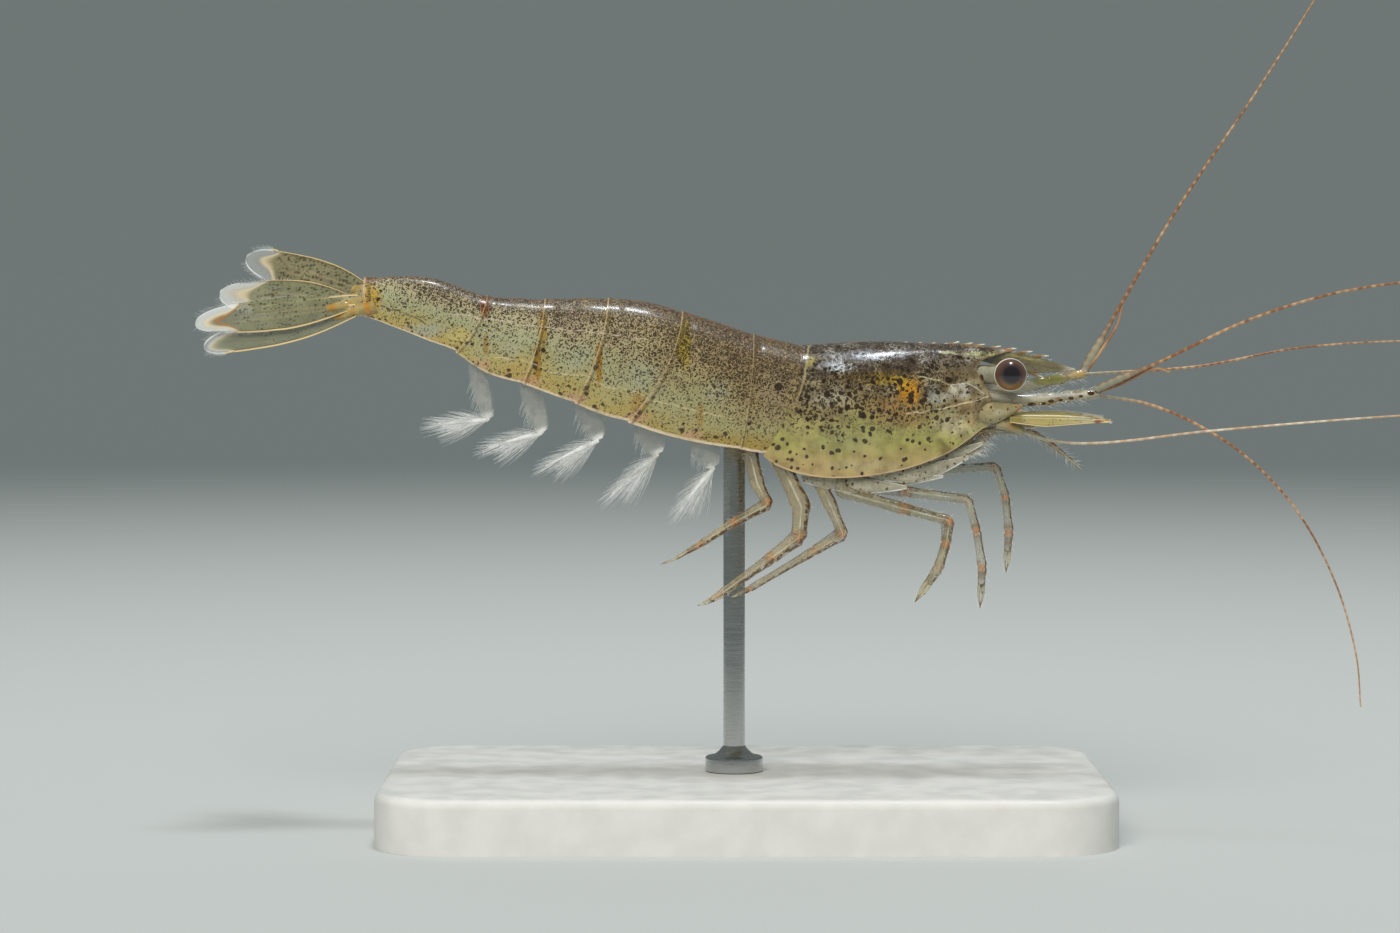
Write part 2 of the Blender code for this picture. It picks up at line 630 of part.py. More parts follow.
def build_pleopods(material, parent):
    """Five pairs of swimmerets."""
    for index in range(len(PLEOPOD_TOP)):
        for label, side in SIDES.items():
            bm, top = pleopod_mesh(index, side)
            make_object(bm, f"pleopod_{index + 1}_{label}", material, parent, top)


# ---------------------------------------------------------------- tail fan

def fan_axes():
    """The fan's own directions: along its axis, across to its left side, and up."""
    yaw = math.radians(FAN_YAW)
    pitch = math.radians(FAN_PITCH)
    along = Vector((-math.cos(yaw) * math.cos(pitch), math.sin(yaw) * math.cos(pitch), math.sin(pitch)))
    across = along.cross(Vector((0.0, 0.0, 1.0))).normalized()
    roll = Matrix.Rotation(math.radians(-FAN_ROLL), 3, along)
    across = roll @ across
    return along, across, across.cross(along).normalized()


def build_fan(blade_material, parent):
    """The telson and the four blades of the tail fan."""
    along, across, up = fan_axes()
    root = Vector(FAN_ROOT)
    for kind, (angle, lift, length, width, level, offset) in UROPODS.items():
        for label, side in SIDES.items():
            turn = math.radians(angle)
            rise = math.radians(lift)
            flat = along * math.cos(turn) + across * (side * math.sin(turn))
            ahead = flat * math.cos(rise) + up * math.sin(rise)
            wide = across * math.cos(turn) - along * (side * math.sin(turn))
            start = root + across * (side * offset) + up * (level * FAN_LEVEL)
            bm = bmesh.new()
            loft(bm, blade_rings(start, ahead, wide, length, width, UROPOD_ROOT))
            make_object(bm, f"uropod_{kind}_{label}", blade_material, parent, start)
    bm = bmesh.new()
    start = root + up * FAN_LEVEL
    ahead = Matrix.Rotation(math.radians(-TELSON_TURN), 3, up) @ along
    rings = []
    for i, width in enumerate(TELSON_WIDTHS):
        centre = start + ahead * (TELSON_LENGTH * i / (len(TELSON_WIDTHS) - 1))
        rings.append(oval(centre, ahead, width, BLADE_THICKNESS, ROUND_SIDES, across))
    loft(bm, rings)
    make_object(bm, "telson", blade_material, parent, start)


# ---------------------------------------------------------------- stand

def build_stand(base_material, rod_material, parent):
    """A flat base with rounded corners, and one rod up to the underside of the body."""
    bm = bmesh.new()
    bmesh.ops.create_cube(bm, size=1.0, matrix=Matrix.Diagonal((BASE_LENGTH, BASE_WIDTH, BASE_HEIGHT, 1.0)))
    bmesh.ops.translate(bm, vec=(0.0, 0.0, 0.5 * BASE_HEIGHT), verts=bm.verts)
    upright = [e for e in bm.edges if abs(e.verts[0].co.z - e.verts[1].co.z) > 0.5 * BASE_HEIGHT]
    bmesh.ops.bevel(bm, geom=upright, offset=BASE_CORNER, segments=6, profile=0.5,
                    affect="EDGES", clamp_overlap=True)
    rim = [e for e in bm.edges if min(v.co.z for v in e.verts) > BASE_HEIGHT - 0.01]
    bmesh.ops.bevel(bm, geom=rim, offset=BASE_EDGE, segments=2, profile=0.5,
                    affect="EDGES", clamp_overlap=True)
    make_object(bm, "stand_base", base_material, parent)

    bottom = BASE_HEIGHT + GAP
    shoulder = bottom + COLLAR_HEIGHT
    profile = ((COLLAR_RADIUS, bottom), (COLLAR_RADIUS, shoulder),
               (ROD_RADIUS, shoulder + COLLAR_CONE), (ROD_RADIUS, ROD_TOP))
    bm = bmesh.new()
    rings = []
    up = Vector((0.0, 0.0, 1.0))
    for radius, z in profile:
        rings.append(oval(Vector((ROD_X, 0.0, z)), up, 2.0 * radius, 2.0 * radius, ROD_SIDES))
    loft(bm, rings)
    make_object(bm, "stand_rod", rod_material, parent, (ROD_X, 0.0, bottom))


# ---------------------------------------------------------------- build

def main():
    """Build every sub-part with its own finish."""
    clear_scene()
    shrimp = make_parent("shrimp")
    stand = make_parent("stand")
    shell = make_material("translucent_shell", (0.42, 0.41, 0.25), 0.35)
    blade = make_material("clear_blade", (0.55, 0.50, 0.36), 0.3)
    horn = make_material("rostrum_horn", (0.45, 0.42, 0.22), 0.4)
    eye = make_material("eye_cornea", (0.10, 0.06, 0.06), 0.12)
    limb = make_material("limb_shell", (0.55, 0.45, 0.28), 0.35)
    feather = make_material("pleopod_shell", (0.8, 0.8, 0.76), 0.5)
    feeler = make_material("feeler_shell", (0.45, 0.22, 0.10), 0.4)
    resin = make_material("stand_resin", (0.78, 0.77, 0.74), 0.45)
    steel = make_material("stand_steel", (0.6, 0.6, 0.6), 0.3, 1.0)

    build_body(shell, shrimp)
    build_rostrum(horn, shrimp)
    build_eyes(eye, shell, shrimp)
    build_antennules(limb, feeler, shrimp)
    build_antennae(limb, blade, shrimp)
    build_mouth(limb, shrimp)
    build_limbs(limb, shrimp)
    build_pleopods(feather, shrimp)
    build_fan(blade, shrimp)
    build_stand(resin, steel, stand)


main()
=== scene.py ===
"""Looks of a swimming shrimp on a plain display stand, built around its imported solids.

The head points along +X, the back is up (+Z) and the animal's left side is +Y. Sizes are
in millimetres and angles in degrees. A piece is scaled to metres when it is finished.
"""

import logging
import math
import random
from collections.abc import Callable, Sequence
from dataclasses import dataclass, field
from enum import Enum
from functools import reduce

import bmesh
import bpy
import numpy as np
from mathutils import Matrix, Vector


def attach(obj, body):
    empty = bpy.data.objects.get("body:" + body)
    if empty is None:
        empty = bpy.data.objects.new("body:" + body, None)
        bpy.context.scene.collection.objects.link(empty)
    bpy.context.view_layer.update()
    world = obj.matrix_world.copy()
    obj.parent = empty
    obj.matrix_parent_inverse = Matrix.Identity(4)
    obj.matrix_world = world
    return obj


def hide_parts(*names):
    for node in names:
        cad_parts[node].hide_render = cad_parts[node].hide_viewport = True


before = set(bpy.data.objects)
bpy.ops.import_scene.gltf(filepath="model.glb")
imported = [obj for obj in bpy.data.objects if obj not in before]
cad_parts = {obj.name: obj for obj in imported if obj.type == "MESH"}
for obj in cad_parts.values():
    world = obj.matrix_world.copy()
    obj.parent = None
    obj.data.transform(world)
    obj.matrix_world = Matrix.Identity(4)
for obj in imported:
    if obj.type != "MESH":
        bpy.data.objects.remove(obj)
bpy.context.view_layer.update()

LOG = logging.getLogger("shrimp")

MM = 0.001
AHEAD = Vector((1.0, 0.0, 0.0))
ACROSS = Vector((0.0, 1.0, 0.0))
UP = Vector((0.0, 0.0, 1.0))
SHAPE_MAP = "Shape"
BAKE_MAP = "OFBake"
TUFT_PATCH = 0.003
STRAND_TIP = 0.12

Point = tuple[float, float, float]
Colour = tuple[float, float, float]
BMesh = bmesh.types.BMesh
Material = bpy.types.Material
Node = bpy.types.Node
Tree = bpy.types.NodeTree
Socket = bpy.types.NodeSocket
Source = Socket | float | Sequence[float]
Numbers = Sequence[float] | float
Place = Callable[[float, float], Vector]


class Side(Enum):
    """The half of the animal that a piece is on; the value is the sign of its Y."""

    RIGHT = -1.0
    LEFT = 1.0

    @property
    def label(self) -> str:
        """The word that ends a piece's name."""
        return self.name.lower()

    def point(self, left: Sequence[float]) -> Vector:
        """This side's twin of a point given for the left."""
        return Vector((left[0], self.value * left[1], left[2]))


# ---------------------------------------------------------------- numbers and lines


def blend(low: float, high: float, share: float) -> float:
    """Mix two numbers."""
    return low + (high - low) * share


def ease(low: float, high: float, value: float) -> float:
    """Rise smoothly from 0 at low to 1 at high."""
    share = min(1.0, max(0.0, (value - low) / (high - low)))
    return share * share * (3.0 - 2.0 * share)


def bell(centre: float, reach: float, value: float) -> float:
    """A smooth bump of height 1 round a centre."""
    return math.exp(-(((value - centre) / reach) ** 2))


def steps(count: int) -> list[float]:
    """Even shares from 0 to 1."""
    return [i / (count - 1) for i in range(count)]


def heading(pitch: float, splay: float, side: Side) -> Vector:
    """Turn from +X in the upright plane and lean outwards.

    Args:
        pitch: degrees above the horizontal; past 90 it points backwards.
        splay: degrees away from the middle plane.
        side: the half of the animal.

    Returns:
        A unit vector.
    """
    up, out = math.radians(pitch), math.radians(splay)
    return side.point((math.cos(up) * math.cos(out), math.sin(out), math.sin(up) * math.cos(out)))


@dataclass(frozen=True)
class Profile:
    """A smooth curve through (place, value) knots, listed by rising place."""

    knots: tuple[tuple[float, float], ...]

    @classmethod
    def even(cls, values: Sequence[float]) -> "Profile":
        """A curve through values spread evenly from 0 to 1."""
        return cls(tuple(zip(steps(len(values)), values)))

    def at(self, place: float) -> float:
        """Read the curve.

        Args:
            place: where along the knots; outside them the end values hold.

        Returns:
            The value there.
        """
        knots = self.knots
        if place <= knots[0][0]:
            return knots[0][1]
        if place >= knots[-1][0]:
            return knots[-1][1]
        i = sum(1 for knot in knots[1:-1] if knot[0] <= place)
        (x0, v0), (x1, v1) = knots[i], knots[i + 1]
        step = x1 - x0
        mean = (v1 - v0) / step
        before = (v0 - knots[i - 1][1]) / (x0 - knots[i - 1][0]) if i > 0 else mean
        after = (knots[i + 2][1] - v1) / (knots[i + 2][0] - x1) if i + 2 < len(knots) else mean
        slope0, slope1 = 0.5 * (before + mean) * step, 0.5 * (after + mean) * step
        t = (place - x0) / step
        start, end = v0 * (2 * t**3 - 3 * t**2 + 1), v1 * (3 * t**2 - 2 * t**3)
        return start + slope0 * (t**3 - 2 * t**2 + t) + end + slope1 * (t**3 - t**2)


def smooth_line(corners: Sequence[Sequence[float]], count: int) -> list[Vector]:
    """Spread points evenly along a smooth line.

    Args:
        corners: points that the line runs through.
        count: how many points to spread.

    Returns:
        The points, from the first corner to the last.
    """
    knots = [Vector(point) for point in corners]
    run = [0.0]
    for a, b in zip(knots, knots[1:]):
        run.append(run[-1] + (b - a).length)
    axes = [Profile(tuple(zip(run, (knot[axis] for knot in knots)))) for axis in range(3)]
    stops = [run[-1] * i / (count - 1) for i in range(count)]
    return [Vector([axis.at(stop) for axis in axes]) for stop in stops]


def straight(start: Vector, end: Vector, count: int) -> list[Vector]:
    """Spread points evenly between two."""
    return [start.lerp(end, share) for share in steps(count)]


def bent_path(corners: Sequence[Vector], spacing: float, fillet: float) -> tuple[list[Vector], list[float]]:
    """Sample a jointed line, rounding each corner a little.

    Args:
        corners: the ends and joints.
        spacing: distance between samples on the straight runs.
        fillet: how far before and after a joint the rounding reaches.

    Returns:
        The points, and for each its place, counted in runs from the start.
    """
    points, places = [corners[0].copy()], [0.0]
    last = len(corners) - 2
    for i, (a, b) in enumerate(zip(corners, corners[1:])):
        length = (b - a).length
        low = fillet / length if i > 0 else 0.0
        high = 1.0 - fillet / length if i < last else 1.0
        count = max(2, round((high - low) * length / spacing))
        for k in range(count + 1):
            t = blend(low, high, k / count)
            if k > 0 or i > 0:
                points.append(a.lerp(b, t))
                places.append(i + t)
        if i < last:
            after = corners[i + 2] - b
            before_point, after_point = a.lerp(b, high), b + after.normalized() * fillet
            points.append((before_point + after_point) * 0.25 + b * 0.5)
            places.append(i + 1.0)
    return points, places


# ---------------------------------------------------------------- mesh building


def add_sheet(bm: BMesh, columns: int, rows: int, place: Place) -> list[bmesh.types.BMVert]:
    """Add a grid, write its own map and bend it into shape.

    Args:
        bm: the mesh to add to.
        columns: faces along the sheet.
        rows: faces across it.
        place: gives the point for a share along and a share across.

    Returns:
        The new vertices.
    """
    verts = bmesh.ops.create_grid(bm, x_segments=columns, y_segments=rows, size=0.5)["verts"]
    layer = bm.loops.layers.uv.get(SHAPE_MAP) or bm.loops.layers.uv.new(SHAPE_MAP)
    shares = {vert: (vert.co.x + 0.5, vert.co.y + 0.5) for vert in verts}
    for face in {face for vert in verts for face in vert.link_faces}:
        for loop in face.loops:
            loop[layer].uv = shares[loop.vert]
    for vert, (along, across) in shares.items():
        vert.co = place(along, across)
    return verts


def ring_frames(points: Sequence[Vector], across: Vector) -> list[tuple[Vector, Vector]]:
    """Carry a crosswise direction along a path without twist.

    Args:
        points: the path.
        across: the wished direction at its start.

    Returns:
        For each point, the crosswise direction and the one square to it and to the path.
    """
    frames = []
    for i in range(len(points)):
        ahead = points[min(i + 1, len(points) - 1)] - points[max(i - 1, 0)]
        ahead.normalize()
        across = (across - ahead * ahead.dot(across)).normalized()
        frames.append((across, ahead.cross(across)))
    return frames


def padded(numbers: Numbers, count: int) -> list[float]:
    """One number for each point of a path, with both ends doubled for its caps."""
    row = [numbers] * count if isinstance(numbers, float) else numbers
    return [row[0], *row, row[-1]]


def add_tube(
    bm: BMesh,
    path: Sequence[Vector],
    radii: Sequence[float],
    sides: int,
    across: Vector = ACROSS,
    flatness: Numbers = 1.0,
    **values: Numbers,
) -> None:
    """Add a closed tube along a path.

    Args:
        bm: the mesh to add to.
        path: the points that it follows.
        radii: the half width at each point, along the crosswise direction.
        sides: faces round the tube.
        across: the crosswise direction at the start.
        flatness: the other half width, as a share of the first.
        values: numbers for each point, written as vertex attributes.
    """
    points = [path[0], *path, path[-1]]
    reach = [0.0, *radii, 0.0]
    flat = padded(flatness, len(path))
    frames = ring_frames(path, across)
    frames = [frames[0], *frames, frames[-1]]
    last = len(points) - 1

    def place(along: float, around: float) -> Vector:
        """A point of the tube's wall.

        Args:
            along: the share along the tube.
            around: the share round it.

        Returns:
            The point.
        """
        i = round(along * last)
        turn = 2.0 * math.pi * around
        wide, deep = frames[i]
        return points[i] + wide * (reach[i] * math.cos(turn)) + deep * (reach[i] * flat[i] * math.sin(turn))

    stored = bm.verts.layers.float
    for name in values:
        if stored.get(name) is None:
            stored.new(name)
    verts = add_sheet(bm, last, sides, place)
    for name, numbers in values.items():
        layer, row = stored.get(name), padded(numbers, len(path))
        for k, vert in enumerate(verts):
            vert[layer] = row[k % (last + 1)]
    bmesh.ops.remove_doubles(bm, verts=verts, dist=1e-5)


def wall(bm: BMesh, verts: Sequence[bmesh.types.BMVert], thickness: float) -> None:
    """Give an open sheet a wall, so that it is a closed shell."""
    faces = list(dict.fromkeys(face for vert in verts for face in vert.link_faces))
    bmesh.ops.solidify(bm, geom=faces, thickness=thickness)


def place_piece(mesh: bpy.types.Mesh, finish: Material, slot: str, *nodes: str) -> bpy.types.Object:
    """Dress a mesh and let it ride on the model.

    Args:
        mesh: the mesh, whose name the piece takes.
        finish: its material.
        slot: the record's material slot; not used.
        nodes: the solids that the piece stands for.

    Returns:
        The piece.
    """
    mesh.materials.append(finish)
    piece = bpy.data.objects.new(mesh.name, mesh)
    bpy.context.collection.objects.link(piece)
    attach(piece, "root")
    if nodes:
        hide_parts(*nodes)
    LOG.info("%s: %d faces", piece.name, len(mesh.polygons))
    return piece


def finish_piece(
    bm: BMesh,
    name: str,
    finish: Material,
    slot: str,
    *nodes: str,
    crease: float = 50.0,
) -> bpy.types.Object:
    """Scale a mesh to metres and make a piece of it.

    Args:
        bm: the mesh, in millimetres; it is freed.
        name: the piece's name.
        finish: its material.
        slot: the record's material slot.
        nodes: the solids that the piece stands for.
        crease: edges sharper than this stay crisp.

    Returns:
        The piece.
    """
    bmesh.ops.recalc_face_normals(bm, faces=bm.faces)
    bmesh.ops.scale(bm, vec=(MM, MM, MM), verts=bm.verts)
    mesh = bpy.data.meshes.new(name)
    bm.to_mesh(mesh)
    bm.free()
    mesh.shade_smooth()
    mesh.set_sharp_from_angle(angle=math.radians(crease))
    return place_piece(mesh, finish, slot, *nodes)


@dataclass
class Bristles:
    """Fine bristles gathered into one mesh, each a closed, tapering, bent strand."""

    name: str
    rings: int = 4
    sides: int = 3
    strands: list[tuple[Vector, Vector, Vector, float]] = field(default_factory=list)

    def grow(self, root: Vector, tip: Vector, pull: Vector, width: float) -> None:
        """Add a strand, whose middle is pulled aside and whose root has a width."""
        self.strands.append((root.copy(), root.lerp(tip, 0.5) + pull, tip.copy(), width))

    def spine_points(self) -> tuple[np.ndarray, np.ndarray, np.ndarray]:
        """The strands' middle lines.

        Returns:
            For each strand, its rings' centres and the two directions across it.
        """
        root, bend, tip = (np.array([strand[k] for strand in self.strands], float) for k in range(3))
        ahead = tip - root
        ahead /= np.linalg.norm(ahead, axis=1, keepdims=True)
        other = np.where(np.abs(ahead[:, 1:2]) < 0.9, [[0.0, 1.0, 0.0]], [[1.0, 0.0, 0.0]])
        wide = np.cross(ahead, other)
        wide /= np.linalg.norm(wide, axis=1, keepdims=True)
        t = np.linspace(0.0, 1.0, self.rings)[None, :, None]
        centre = (1 - t) ** 2 * root[:, None] + 2 * t * (1 - t) * bend[:, None] + t**2 * tip[:, None]
        return centre, wide, np.cross(ahead, wide)

    def build(self, finish: Material, slot: str) -> None:
        """Join the strands into one piece.

        Args:
            finish: the material.
            slot: the record's material slot.
        """
        count, ring, side = len(self.strands), self.rings, self.sides
        centre, wide, deep = self.spine_points()
        width = np.array([strand[3] for strand in self.strands], float)
        taper = 0.5 * np.maximum(1.0 - np.linspace(0.0, 1.0, ring)[None, :], STRAND_TIP) ** 0.8
        turn = 2.0 * math.pi * np.arange(side) / side
        spoke = wide[:, None] * np.cos(turn)[None, :, None] + deep[:, None] * np.sin(turn)[None, :, None]
        reach = (width[:, None] * taper)[:, :, None, None]
        points = (centre[:, :, None] + spoke[:, None] * reach).reshape(-1, 3) * MM
        quads = [
            (k * side + j, k * side + (j + 1) % side, (k + 1) * side + (j + 1) % side, (k + 1) * side + j)
            for k in range(ring - 1)
            for j in range(side)
        ]
        ends = [tuple(reversed(range(side))), tuple(range((ring - 1) * side, ring * side))]
        faces = [tuple(corner + s * ring * side for corner in face) for s in range(count) for face in quads + ends]
        mesh = bpy.data.meshes.new(self.name)
        mesh.from_pydata(points.tolist(), [], faces)
        corners = np.zeros(len(mesh.loops), np.int32)
        mesh.loops.foreach_get("vertex_index", corners)
        strand, within = corners // (ring * side), corners % (ring * side)
        shift = np.stack([(within // side) / (ring - 1) - 0.5, (within % side) / side - 0.5], axis=1)
        patch = np.array([body_patch(strand[0]) for strand in self.strands], float)
        spots = (patch[strand] + TUFT_PATCH * shift).astype(np.float32).ravel()
        mesh.uv_layers.new(name=BAKE_MAP).data.foreach_set("uv", spots)
        mesh.shade_smooth()
        place_piece(mesh, finish, slot)


# ---------------------------------------------------------------- shader helpers


class NodeSheet:
    """Short ways to add and join the nodes of one tree."""

    def __init__(self, tree: Tree) -> None:
        """Work on a tree."""
        self.tree = tree

    def add(self, kind: str, feeds: dict[str | int, Source] | None = None, **settings: object) -> Node:
        """Add a node.

        Args:
            kind: the node's type, without its ShaderNode prefix.
            feeds: for each input, a socket to join or a value to hold.
            settings: the node's own settings.

        Returns:
            The node.
        """
        node = self.tree.nodes.new("ShaderNode" + kind)
        for name, value in settings.items():
            setattr(node, name, value)
        for key, source in (feeds or {}).items():
            self.feed(node.inputs[key], source)
        return node

    def feed(self, socket: Socket, source: Source) -> None:
        """Join a socket to another, or set its value.

        Args:
            socket: the input.
            source: the output to join, or the value.
        """
        if isinstance(source, Socket):
            self.tree.links.new(source, socket)
        elif socket.type == "RGBA" and len(source) == 3:
            socket.default_value = (*source, 1.0)
        else:
            socket.default_value = source

    def math(self, operation: str, first: Source, second: Source = 0.0, clamp: bool = False) -> Socket:
        """Work out one number from two."""
        return self.add("Math", {0: first, 1: second}, operation=operation, use_clamp=clamp).outputs[0]

    def times(self, *values: Source) -> Source:
        """Multiply values."""
        return reduce(lambda first, second: self.math("MULTIPLY", first, second), values)

    def most(self, *values: Source) -> Source:
        """Take the largest of some values."""
        return reduce(lambda first, second: self.math("MAXIMUM", first, second), values)

    def plus(self, first: Source, second: Source, clamp: bool = False) -> Socket:
        """Add two values."""
        return self.math("ADD", first, second, clamp)

    def less(self, first: Source, second: Source) -> Socket:
        """Take the second value from the first."""
        return self.math("SUBTRACT", first, second)

    def near(self, value: Source, middle: Source, width: float) -> Socket:
        """1 where a value is close to a middle one, and 0 further off than the width."""
        return self.span(self.math("ABSOLUTE", self.less(value, middle)), width, 0.35 * width)

    def graph(self, value: Source, points: Sequence[tuple[float, float]]) -> Socket:
        """Read a line through points at a value.

        Args:
            value: the value read.
            points: up to 30 points, from left to right.

        Returns:
            The line's height there.
        """
        low, high = points[0][0], points[-1][0]
        bottom, top = min(y for _, y in points), max(y for _, y in points) + 1e-6
        share = self.math("DIVIDE", self.less(value, low), high - low)
        stops = [((x - low) / (high - low), ((y - bottom) / (top - bottom),) * 3) for x, y in points]
        return self.plus(self.times(self.ramp(share, *stops), top - bottom), bottom)

    def vector(self, operation: str, first: Source, second: Source) -> Socket:
        """Work out one vector from two."""
        return self.add("VectorMath", {0: first, 1: second}, operation=operation).outputs[0]

    def mix(self, share: Source, first: Source, second: Source, method: str = "MIX") -> Socket:
        """Lay a share of the second colour over the first."""
        return self.add("Mix", {0: share, 6: first, 7: second}, data_type="RGBA", blend_type=method).outputs[2]

    def span(self, value: Source, low: Source, high: Source, start: float = 0.0, end: float = 1.0) -> Socket:
        """Ease a value from one range to another.

        Args:
            value: the value read.
            low: where the rise starts; it may lie above high, for a fall.
            high: where the rise ends.
            start: the value at low.
            end: the value at high.

        Returns:
            The eased value.
        """
        feeds = {"Value": value, "From Min": low, "From Max": high, "To Min": start, "To Max": end}
        return self.add("MapRange", feeds, interpolation_type="SMOOTHSTEP").outputs[0]

    def ramp(self, value: Source, *stops: tuple[float, Colour]) -> Socket:
        """Turn a value into a colour.

        Args:
            value: the value read.
            stops: places from 0 to 1 and their colours.

        Returns:
            The colour.
        """
        node = self.add("ValToRGB", {0: value})
        elements = node.color_ramp.elements
        while len(elements) < len(stops):
            elements.new(0.5)
        for element, (place, colour) in zip(elements, stops):
            element.position, element.color = place, (*colour, 1.0)
        return node.outputs[0]

    def noise(self, vector: Source, scale: Source, detail: float = 2.0, output: str | int = 0) -> Socket:
        """Cloudy variation from 0 to 1 about 0.5."""
        return self.add("TexNoise", {"Vector": vector, "Scale": scale, "Detail": detail}).outputs[output]


class GroupSheet(NodeSheet):
    """The sheet of a shared node group with one output."""

    def __init__(self, name: str, *numbers: str, vectors: Sequence[str] = ()) -> None:
        """Start a group, whose first input is the vector that it reads.

        Args:
            name: its name.
            numbers: its inputs that are numbers.
            vectors: its other inputs that are vectors.
        """
        super().__init__(bpy.data.node_groups.new(name, "ShaderNodeTree"))
        kinds = dict.fromkeys(("Vector", *vectors), "Vector") | dict.fromkeys(numbers, "Float")
        for label, kind in kinds.items():
            self.tree.interface.new_socket(label, in_out="INPUT", socket_type="NodeSocket" + kind)
        self.given = self.tree.nodes.new("NodeGroupInput").outputs

    def close(self, result: Socket, label: str = "Mask", kind: str = "Float") -> Tree:
        """Give the group its output.

        Args:
            result: the socket that it puts out.
            label: the output's name.
            kind: Float or Vector.

        Returns:
            The group.
        """
        self.tree.interface.new_socket(label, in_out="OUTPUT", socket_type="NodeSocket" + kind)
        self.feed(self.tree.nodes.new("NodeGroupOutput").inputs[label], result)
        return self.tree

    def crooked_cells(self, wobble: Source, **settings: object) -> Node:
        """Part the surface into crooked cells.

        Args:
            wobble: how crooked they are.
            settings: the texture's own settings.

        Returns:
            The cell texture's node.
        """
        place, scale = self.given["Vector"], self.given["Scale"]
        shift = self.vector("SUBTRACT", self.noise(place, scale, 1.0, "Color"), (0.5, 0.5, 0.5))
        reach = self.math("DIVIDE", wobble, scale)
        moved = self.add("VectorMath", {0: shift, "Scale": reach}, operation="SCALE").outputs[0]
        return self.add("TexVoronoi", {"Vector": self.vector("ADD", place, moved), "Scale": scale}, **settings)


def make_specks_group() -> Tree:
    """Irregular pigment spots, whose size and nearness the inputs set.

    Returns:
        The group.
    """
    sheet = GroupSheet("pigment_specks", "Scale", "Size", "Wobble")
    cells = sheet.crooked_cells(sheet.given["Wobble"])
    cells.inputs["Randomness"].default_value = 0.75
    chance = sheet.add("SeparateColor", {0: cells.outputs["Color"]}).outputs[0]
    size = sheet.times(sheet.given["Size"], sheet.span(chance, 0.0, 1.0, 0.45, 1.2))
    return sheet.close(sheet.span(cells.outputs["Distance"], size, sheet.times(size, 0.72)))


def make_net_group() -> Tree:
    """Dark cells parted by a pale, crooked net.

    Returns:
        The group.
    """
    sheet = GroupSheet("pigment_net", "Scale", "Gap")
    cells = sheet.crooked_cells(2.2, feature="DISTANCE_TO_EDGE")
    gap = sheet.given["Gap"]
    return sheet.close(sheet.span(cells.outputs["Distance"], sheet.times(gap, 0.65), gap))


def make_patch_group() -> Tree:
    """A soft, ragged patch round a centre, 1 inside and 0 outside.

    Returns:
        The group.
    """
    sheet = GroupSheet("soft_patch", "Ragged", "Soft", vectors=("Centre", "Reach"))
    given = sheet.given
    scaled = sheet.vector("DIVIDE", sheet.vector("SUBTRACT", given["Vector"], given["Centre"]), given["Reach"])
    length = sheet.add("VectorMath", {0: scaled}, operation="LENGTH").outputs["Value"]
    rough = sheet.times(sheet.less(sheet.noise(given["Vector"], 900.0, 3.0), 0.5), given["Ragged"])
    return sheet.close(sheet.span(sheet.plus(length, rough), 1.0, sheet.less(1.0, given["Soft"])))


def make_relief_group() -> Tree:
    """Fine pits and waves of a thin shell, as a normal.

    Returns:
        The group.
    """
    sheet = GroupSheet("shell_relief", "Height", "Depth")
    waves, pits = (sheet.noise(sheet.given["Vector"], *kind) for kind in ((700.0, 3.0), (5200.0, 2.0)))
    height = sheet.plus(sheet.plus(sheet.times(waves, 1.6), sheet.times(pits, 0.35)), sheet.given["Height"])
    bump = sheet.add("Bump", {"Strength": 1.0, "Distance": sheet.given["Depth"], "Height": height})
    return sheet.close(bump.outputs[0], "Normal", "Vector")


@dataclass(frozen=True)
class SharedGroups:
    """The node groups that several finishes use, each built once."""

    specks: Tree = field(default_factory=make_specks_group)
    patch: Tree = field(default_factory=make_patch_group)
    relief: Tree = field(default_factory=make_relief_group)
    net: Tree = field(default_factory=make_net_group)


@dataclass(frozen=True)
class Palette:
    """The animal's colours."""

    speck: Colour = (0.024, 0.012, 0.004)
    rust: Colour = (0.30, 0.075, 0.012)
    cream: Colour = (0.66, 0.47, 0.26)
    glass: Colour = (0.60, 0.57, 0.40)
    white: Colour = (0.86, 0.87, 0.84)
    dusk: Colour = (0.045, 0.029, 0.014)


COLOURS = Palette()


@dataclass(frozen=True)
class Patch:
    """A coloured patch, the same on both sides: place and reach in millimetres, from the side."""

    centre: tuple[float, float]
    reach: tuple[float, float]
    colour: Colour
    strength: float
    ragged: float = 0.7
    soft: float = 0.6


@dataclass(frozen=True)
class Stroke:
    """A thin line on both flanks, through points seen from the side, in millimetres."""

    points: tuple[tuple[float, float], ...]
    width: float = 0.05
    colour: Colour = COLOURS.cream
    strength: float = 0.8


@dataclass(frozen=True)
class Gloss:
    """The constant values of a finish's shader."""

    roughness: float = 0.3
    coat: float = 0.0
    coat_roughness: float = 0.1
    subsurface: float = 0.0
    metallic: float = 0.0
    specular: float = 0.5

    def sockets(self) -> dict[str, Source]:
        """List what the shader's inputs hold.

        Returns:
            The value of each input.
        """
        return {
            "Roughness": self.roughness,
            "Coat Weight": self.coat,
            "Coat Roughness": self.coat_roughness,
            "Metallic": self.metallic,
            "IOR": 1.5,
            "Specular IOR Level": self.specular,
            "Subsurface Weight": self.subsurface,
            "Subsurface Radius": (1.0, 0.8, 0.5),
            "Subsurface Scale": 0.0006,
        }


